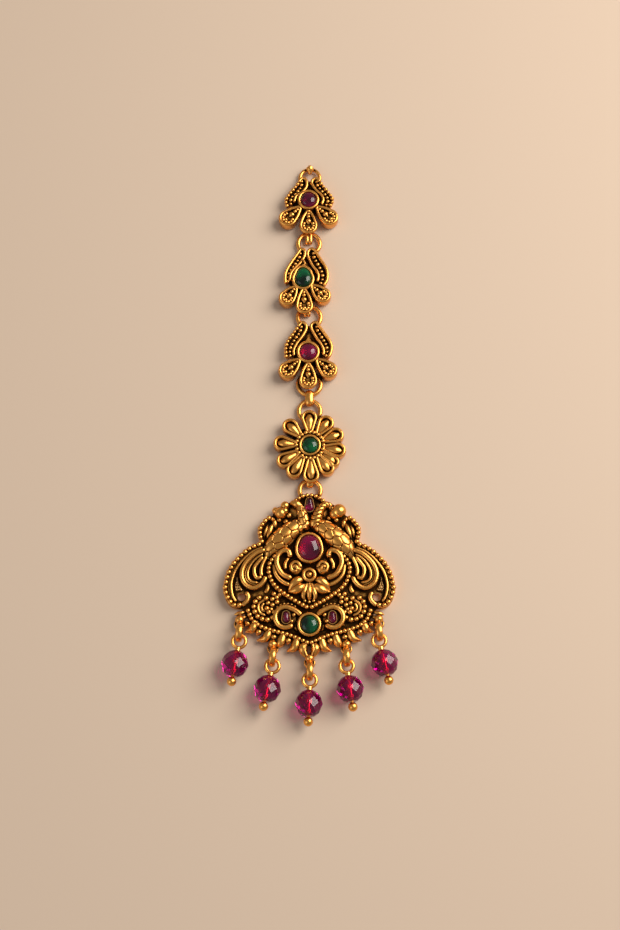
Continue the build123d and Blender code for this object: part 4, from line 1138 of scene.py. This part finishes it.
class TikkaMetalSettings(bpy.types.PropertyGroup):
    """The antique gold."""
    # How far the ambient occlusion looks for a recess that gets patina and painted shade.
    patina_and_shade_reach: FloatProperty(name="Patina reach", description="How wide a recess still holds patina",
                                default=0.0011, unit="LENGTH")
    # How far from a convex edge the gold is worn bright and given a painted highlight.
    wear_and_highlight_reach: FloatProperty(name="Wear reach", description="How far an edge is rubbed bright",
                              default=0.0002, unit="LENGTH")
    # Recess colour: old patina and painted shade in the deepest recesses.
    recess_oxide_and_shade: colour_property("Recess", "Old patina in the deepest recesses", (0.030, 0.012, 0.003))
    # Low ground colour: patina and painted shade on open low ground.
    low_ground_oxide_and_shade: colour_property("Shade", "Patina on open low ground", (0.17, 0.075, 0.014))
    gold_colour: colour_property("Gold", "Clean gold", (0.86, 0.40, 0.088))
    # Crest colour: gold rubbed bright, with a painted highlight, on crests.
    rubbed_crest_and_highlight: colour_property("Crest", "Gold rubbed bright on crests", (1.0, 0.74, 0.34))
    gold_roughness: FloatProperty(name="Roughness", description="Roughness of clean gold", default=0.28,
                                  min=0, max=1, subtype="FACTOR")
    crease: FloatProperty(name="Crease", description="Angle from which an edge stays sharp",
                          default=math.radians(38), subtype="ANGLE")


class TikkaGlassSettings(bpy.types.PropertyGroup):
    """The stones and beads."""
    ruby_deep: colour_property("Ruby deep", "Darkest colour of the rubies", (0.11, 0.0, 0.025))
    ruby_bright: colour_property("Ruby bright", "Brightest colour of the rubies", (0.52, 0.001, 0.13))
    emerald_deep: colour_property("Emerald deep", "Darkest colour of the emeralds", (0.0, 0.02, 0.008))
    emerald_bright: colour_property("Emerald bright", "Brightest colour of the emeralds", (0.0, 0.29, 0.10))
    bead_deep: colour_property("Bead deep", "Darkest colour of the drop beads", (0.34, 0.0, 0.13))
    bead_bright: colour_property("Bead bright", "Brightest colour of the drop beads", (0.62, 0.002, 0.28))
    index: FloatProperty(name="Index", description="How strongly the stones bend light", default=1.48,
                         min=1, max=2.5)
    clearness: FloatProperty(name="Clearness", description="How much light passes through the stones",
                             default=0.75, min=0, max=1, subtype="FACTOR")


class TikkaStageSettings(bpy.types.PropertyGroup):
    """Floor, lamps and camera."""
    floor_size: FloatProperty(name="Floor", description="Side of the tabletop", default=3.0, unit="LENGTH")
    floor_colour: colour_property("Floor colour", "Colour of the tabletop", (0.60, 0.47, 0.36))
    key_energy: FloatProperty(name="Main lamp", description="Strength of the lamp at the upper right",
                              default=5.0, unit="POWER")
    fill_energy: FloatProperty(name="Fill lamp", description="Strength of the lamp at the lower left",
                               default=0.6, unit="POWER")
    sky: FloatProperty(name="Sky", description="Strength of the even light from everywhere", default=0.3)
    lens: FloatProperty(name="Lens", description="Focal length", default=57.1, unit="CAMERA")


# ---- Operators ----------------------------------------------------------------------------------
def metal(name="oxidised_and_shaded_gold", patina_and_shade=1.0):
    """The gold finish, with patina and painted shade, under a name, made once and marked as this script's own."""
    found = bpy.data.materials.get(name)
    if found and not found.get("tikka_finish"):
        raise RuntimeError(f"the frame already has a material called {name}")
    return found or antique_gold(name, bpy.context.scene.tikka_metal, patina_and_shade)


def cast(name, layers, nodes, holes=()):
    """Welds a cast piece, smooths it and links it for its CAD nodes."""
    mesh = weld(name, layers, holes)
    soften(mesh, math.degrees(bpy.context.scene.tikka_metal.crease))
    return stand_for(name, mesh, metal(), nodes)


class TIKKA_OT_plaques(bpy.types.Operator):
    """Cast the three plaques of the chain"""
    bl_idname = "tikka.plaques"
    bl_label = "Plaques"

    def execute(self, context):
        for name, recipe in PLAQUES.items():
            cast(f"{name}_cast", plaque(recipe), [name])
        return {"FINISHED"}


class TIKKA_OT_flower(bpy.types.Operator):
    """Cast the flower above the pendant"""
    bl_idname = "tikka.flower"
    bl_label = "Flower"

    def execute(self, context):
        cast("flower_cast", flower(), ["flower_plaque"])
        return {"FINISHED"}


class TIKKA_OT_pendant(bpy.types.Operator):
    """Cast the peacock pendant"""
    bl_idname = "tikka.pendant"
    bl_label = "Pendant"

    def execute(self, context):
        layers, holes = pendant()
        cast("pendant_cast", layers, ["pendant"], holes)
        return {"FINISHED"}


class TIKKA_OT_stones(bpy.types.Operator):
    """Set the rubies and emeralds"""
    bl_idname = "tikka.stones"
    bl_label = "Stones"

    def execute(self, context):
        glass = context.scene.tikka_glass
        finishes = {
            "ruby_glass": stone_glass("ruby_cabochon", glass.ruby_deep, glass.ruby_bright, glass.index,
                                      glass.clearness),
            "emerald_glass": stone_glass("emerald_cabochon", glass.emerald_deep, glass.emerald_bright,
                                         glass.index, glass.clearness),
        }
        for name, stone in STONES.items():
            x, y = origin_of(name, stone.outline)
            shell = cabochon(stone.outline, stone.reach, stone.seat + 0.02, stone.girdle, stone.crown)
            mesh = mesh_of(f"{name}_stone", [moved(shell, x, y)])
            soften(mesh, 50)
            stand_for(f"{name}_stone", mesh, finishes[stone.glass], [name])
        return {"FINISHED"}


class TIKKA_OT_links(bpy.types.Operator):
    """Finish the links and the bail"""
    bl_idname = "tikka.links"
    bl_label = "Links"

    def execute(self, context):
        for name, (count, thickness) in LINKS.items():
            cast(f"{name}_loops", standing_loops(name, count, thickness), [name])
        return {"FINISHED"}


class TIKKA_OT_drops(bpy.types.Operator):
    """Finish the five bead drops"""
    bl_idname = "tikka.drops"
    bl_label = "Drops"

    def execute(self, context):
        glass = bead_glass(context.scene.tikka_glass)
        for name in DROPS:
            # The links' gold gets less patina and painted shade on low ground.
            dress(f"{name}_drop_ring", metal("link_gold", 0.6))
            dress(f"{name}_drop_pin", metal("link_gold", 0.6))
            mesh = mesh_of(f"{name}_faceted_bead", [lying_bead(name)])
            stand_for(f"{name}_faceted_bead", mesh, glass, [f"{name}_drop_bead"])
        return {"FINISHED"}


class TIKKA_OT_stage(bpy.types.Operator):
    """Lay the tabletop, hang the lamps and place the camera"""
    bl_idname = "tikka.stage"
    bl_label = "Stage"

    def execute(self, context):
        stage = context.scene.tikka_stage
        half = stage.floor_size / 2
        mesh = bpy.data.meshes.new("tabletop")
        mesh.from_pydata([(-half, -half, 0), (half, -half, 0), (half, half, 0), (-half, half, 0)], [],
                         [(0, 1, 2, 3)])
        mesh.materials.append(floor_finish(stage))
        floor = bpy.data.objects.new("tabletop", mesh)
        context.scene.collection.objects.link(floor)
        area_light("main_lamp", (0.40, 0.19, 0.42), (0.42, 0.50), stage.key_energy, (1.0, 0.94, 0.87))
        area_light("fill_lamp", (-0.45, -0.25, 0.35), (0.4, 0.4), stage.fill_energy, (0.9, 0.94, 1.0))
        world = bpy.data.worlds.new("even_sky")
        world.use_nodes = True
        back = world.node_tree.nodes["Background"]
        back.inputs["Color"].default_value = (1.0, 0.95, 0.90, 1.0)
        back.inputs["Strength"].default_value = stage.sky
        context.scene.world = world
        data = bpy.data.cameras.new("camera")
        data.lens = stage.lens
        data.sensor_width = 36
        data.clip_start = 0.01
        camera = bpy.data.objects.new("camera", data)
        offset = Vector((0, -math.cos(CAMERA_ELEVATION), math.sin(CAMERA_ELEVATION))) * CAMERA_DISTANCE
        camera.location = AIM + offset
        camera.rotation_euler = (-offset).to_track_quat("-Z", "Y").to_euler()
        context.scene.collection.objects.link(camera)
        context.scene.camera = camera
        context.scene.view_settings.view_transform = "Standard"
        return {"FINISHED"}


OPERATORS = (TIKKA_OT_plaques, TIKKA_OT_flower, TIKKA_OT_pendant, TIKKA_OT_stones, TIKKA_OT_links,
             TIKKA_OT_drops, TIKKA_OT_stage)
SETTINGS = (("tikka_metal", TikkaMetalSettings), ("tikka_glass", TikkaGlassSettings),
            ("tikka_stage", TikkaStageSettings))


class TIKKA_PT_sidebar(bpy.types.Panel):
    """Lists the jewel's pieces and settings"""
    bl_idname = "TIKKA_PT_sidebar"
    bl_label = "Maang tikka"
    bl_space_type = "VIEW_3D"
    bl_region_type = "UI"
    bl_category = "Tikka"

    def draw(self, context):
        for operator in OPERATORS:
            self.layout.operator(operator.bl_idname)
        for attribute, group in SETTINGS:
            box = self.layout.box()
            box.label(text=group.__doc__)
            settings = getattr(context.scene, attribute)
            for key in group.__annotations__:
                box.prop(settings, key)


def register():
    for _, group in SETTINGS:
        bpy.utils.register_class(group)
    for attribute, group in SETTINGS:
        setattr(bpy.types.Scene, attribute, PointerProperty(type=group))
    for operator in OPERATORS:
        bpy.utils.register_class(operator)
    bpy.utils.register_class(TIKKA_PT_sidebar)


def unregister():
    bpy.utils.unregister_class(TIKKA_PT_sidebar)
    for operator in reversed(OPERATORS):
        bpy.utils.unregister_class(operator)
    for attribute, group in reversed(SETTINGS):
        delattr(bpy.types.Scene, attribute)
        bpy.utils.unregister_class(group)


def main():
    """Builds every piece and the stage."""
    register()
    for operator in OPERATORS:
        group, name = operator.bl_idname.split(".")
        getattr(getattr(bpy.ops, group), name)()


if __name__ == "__main__":
    main()
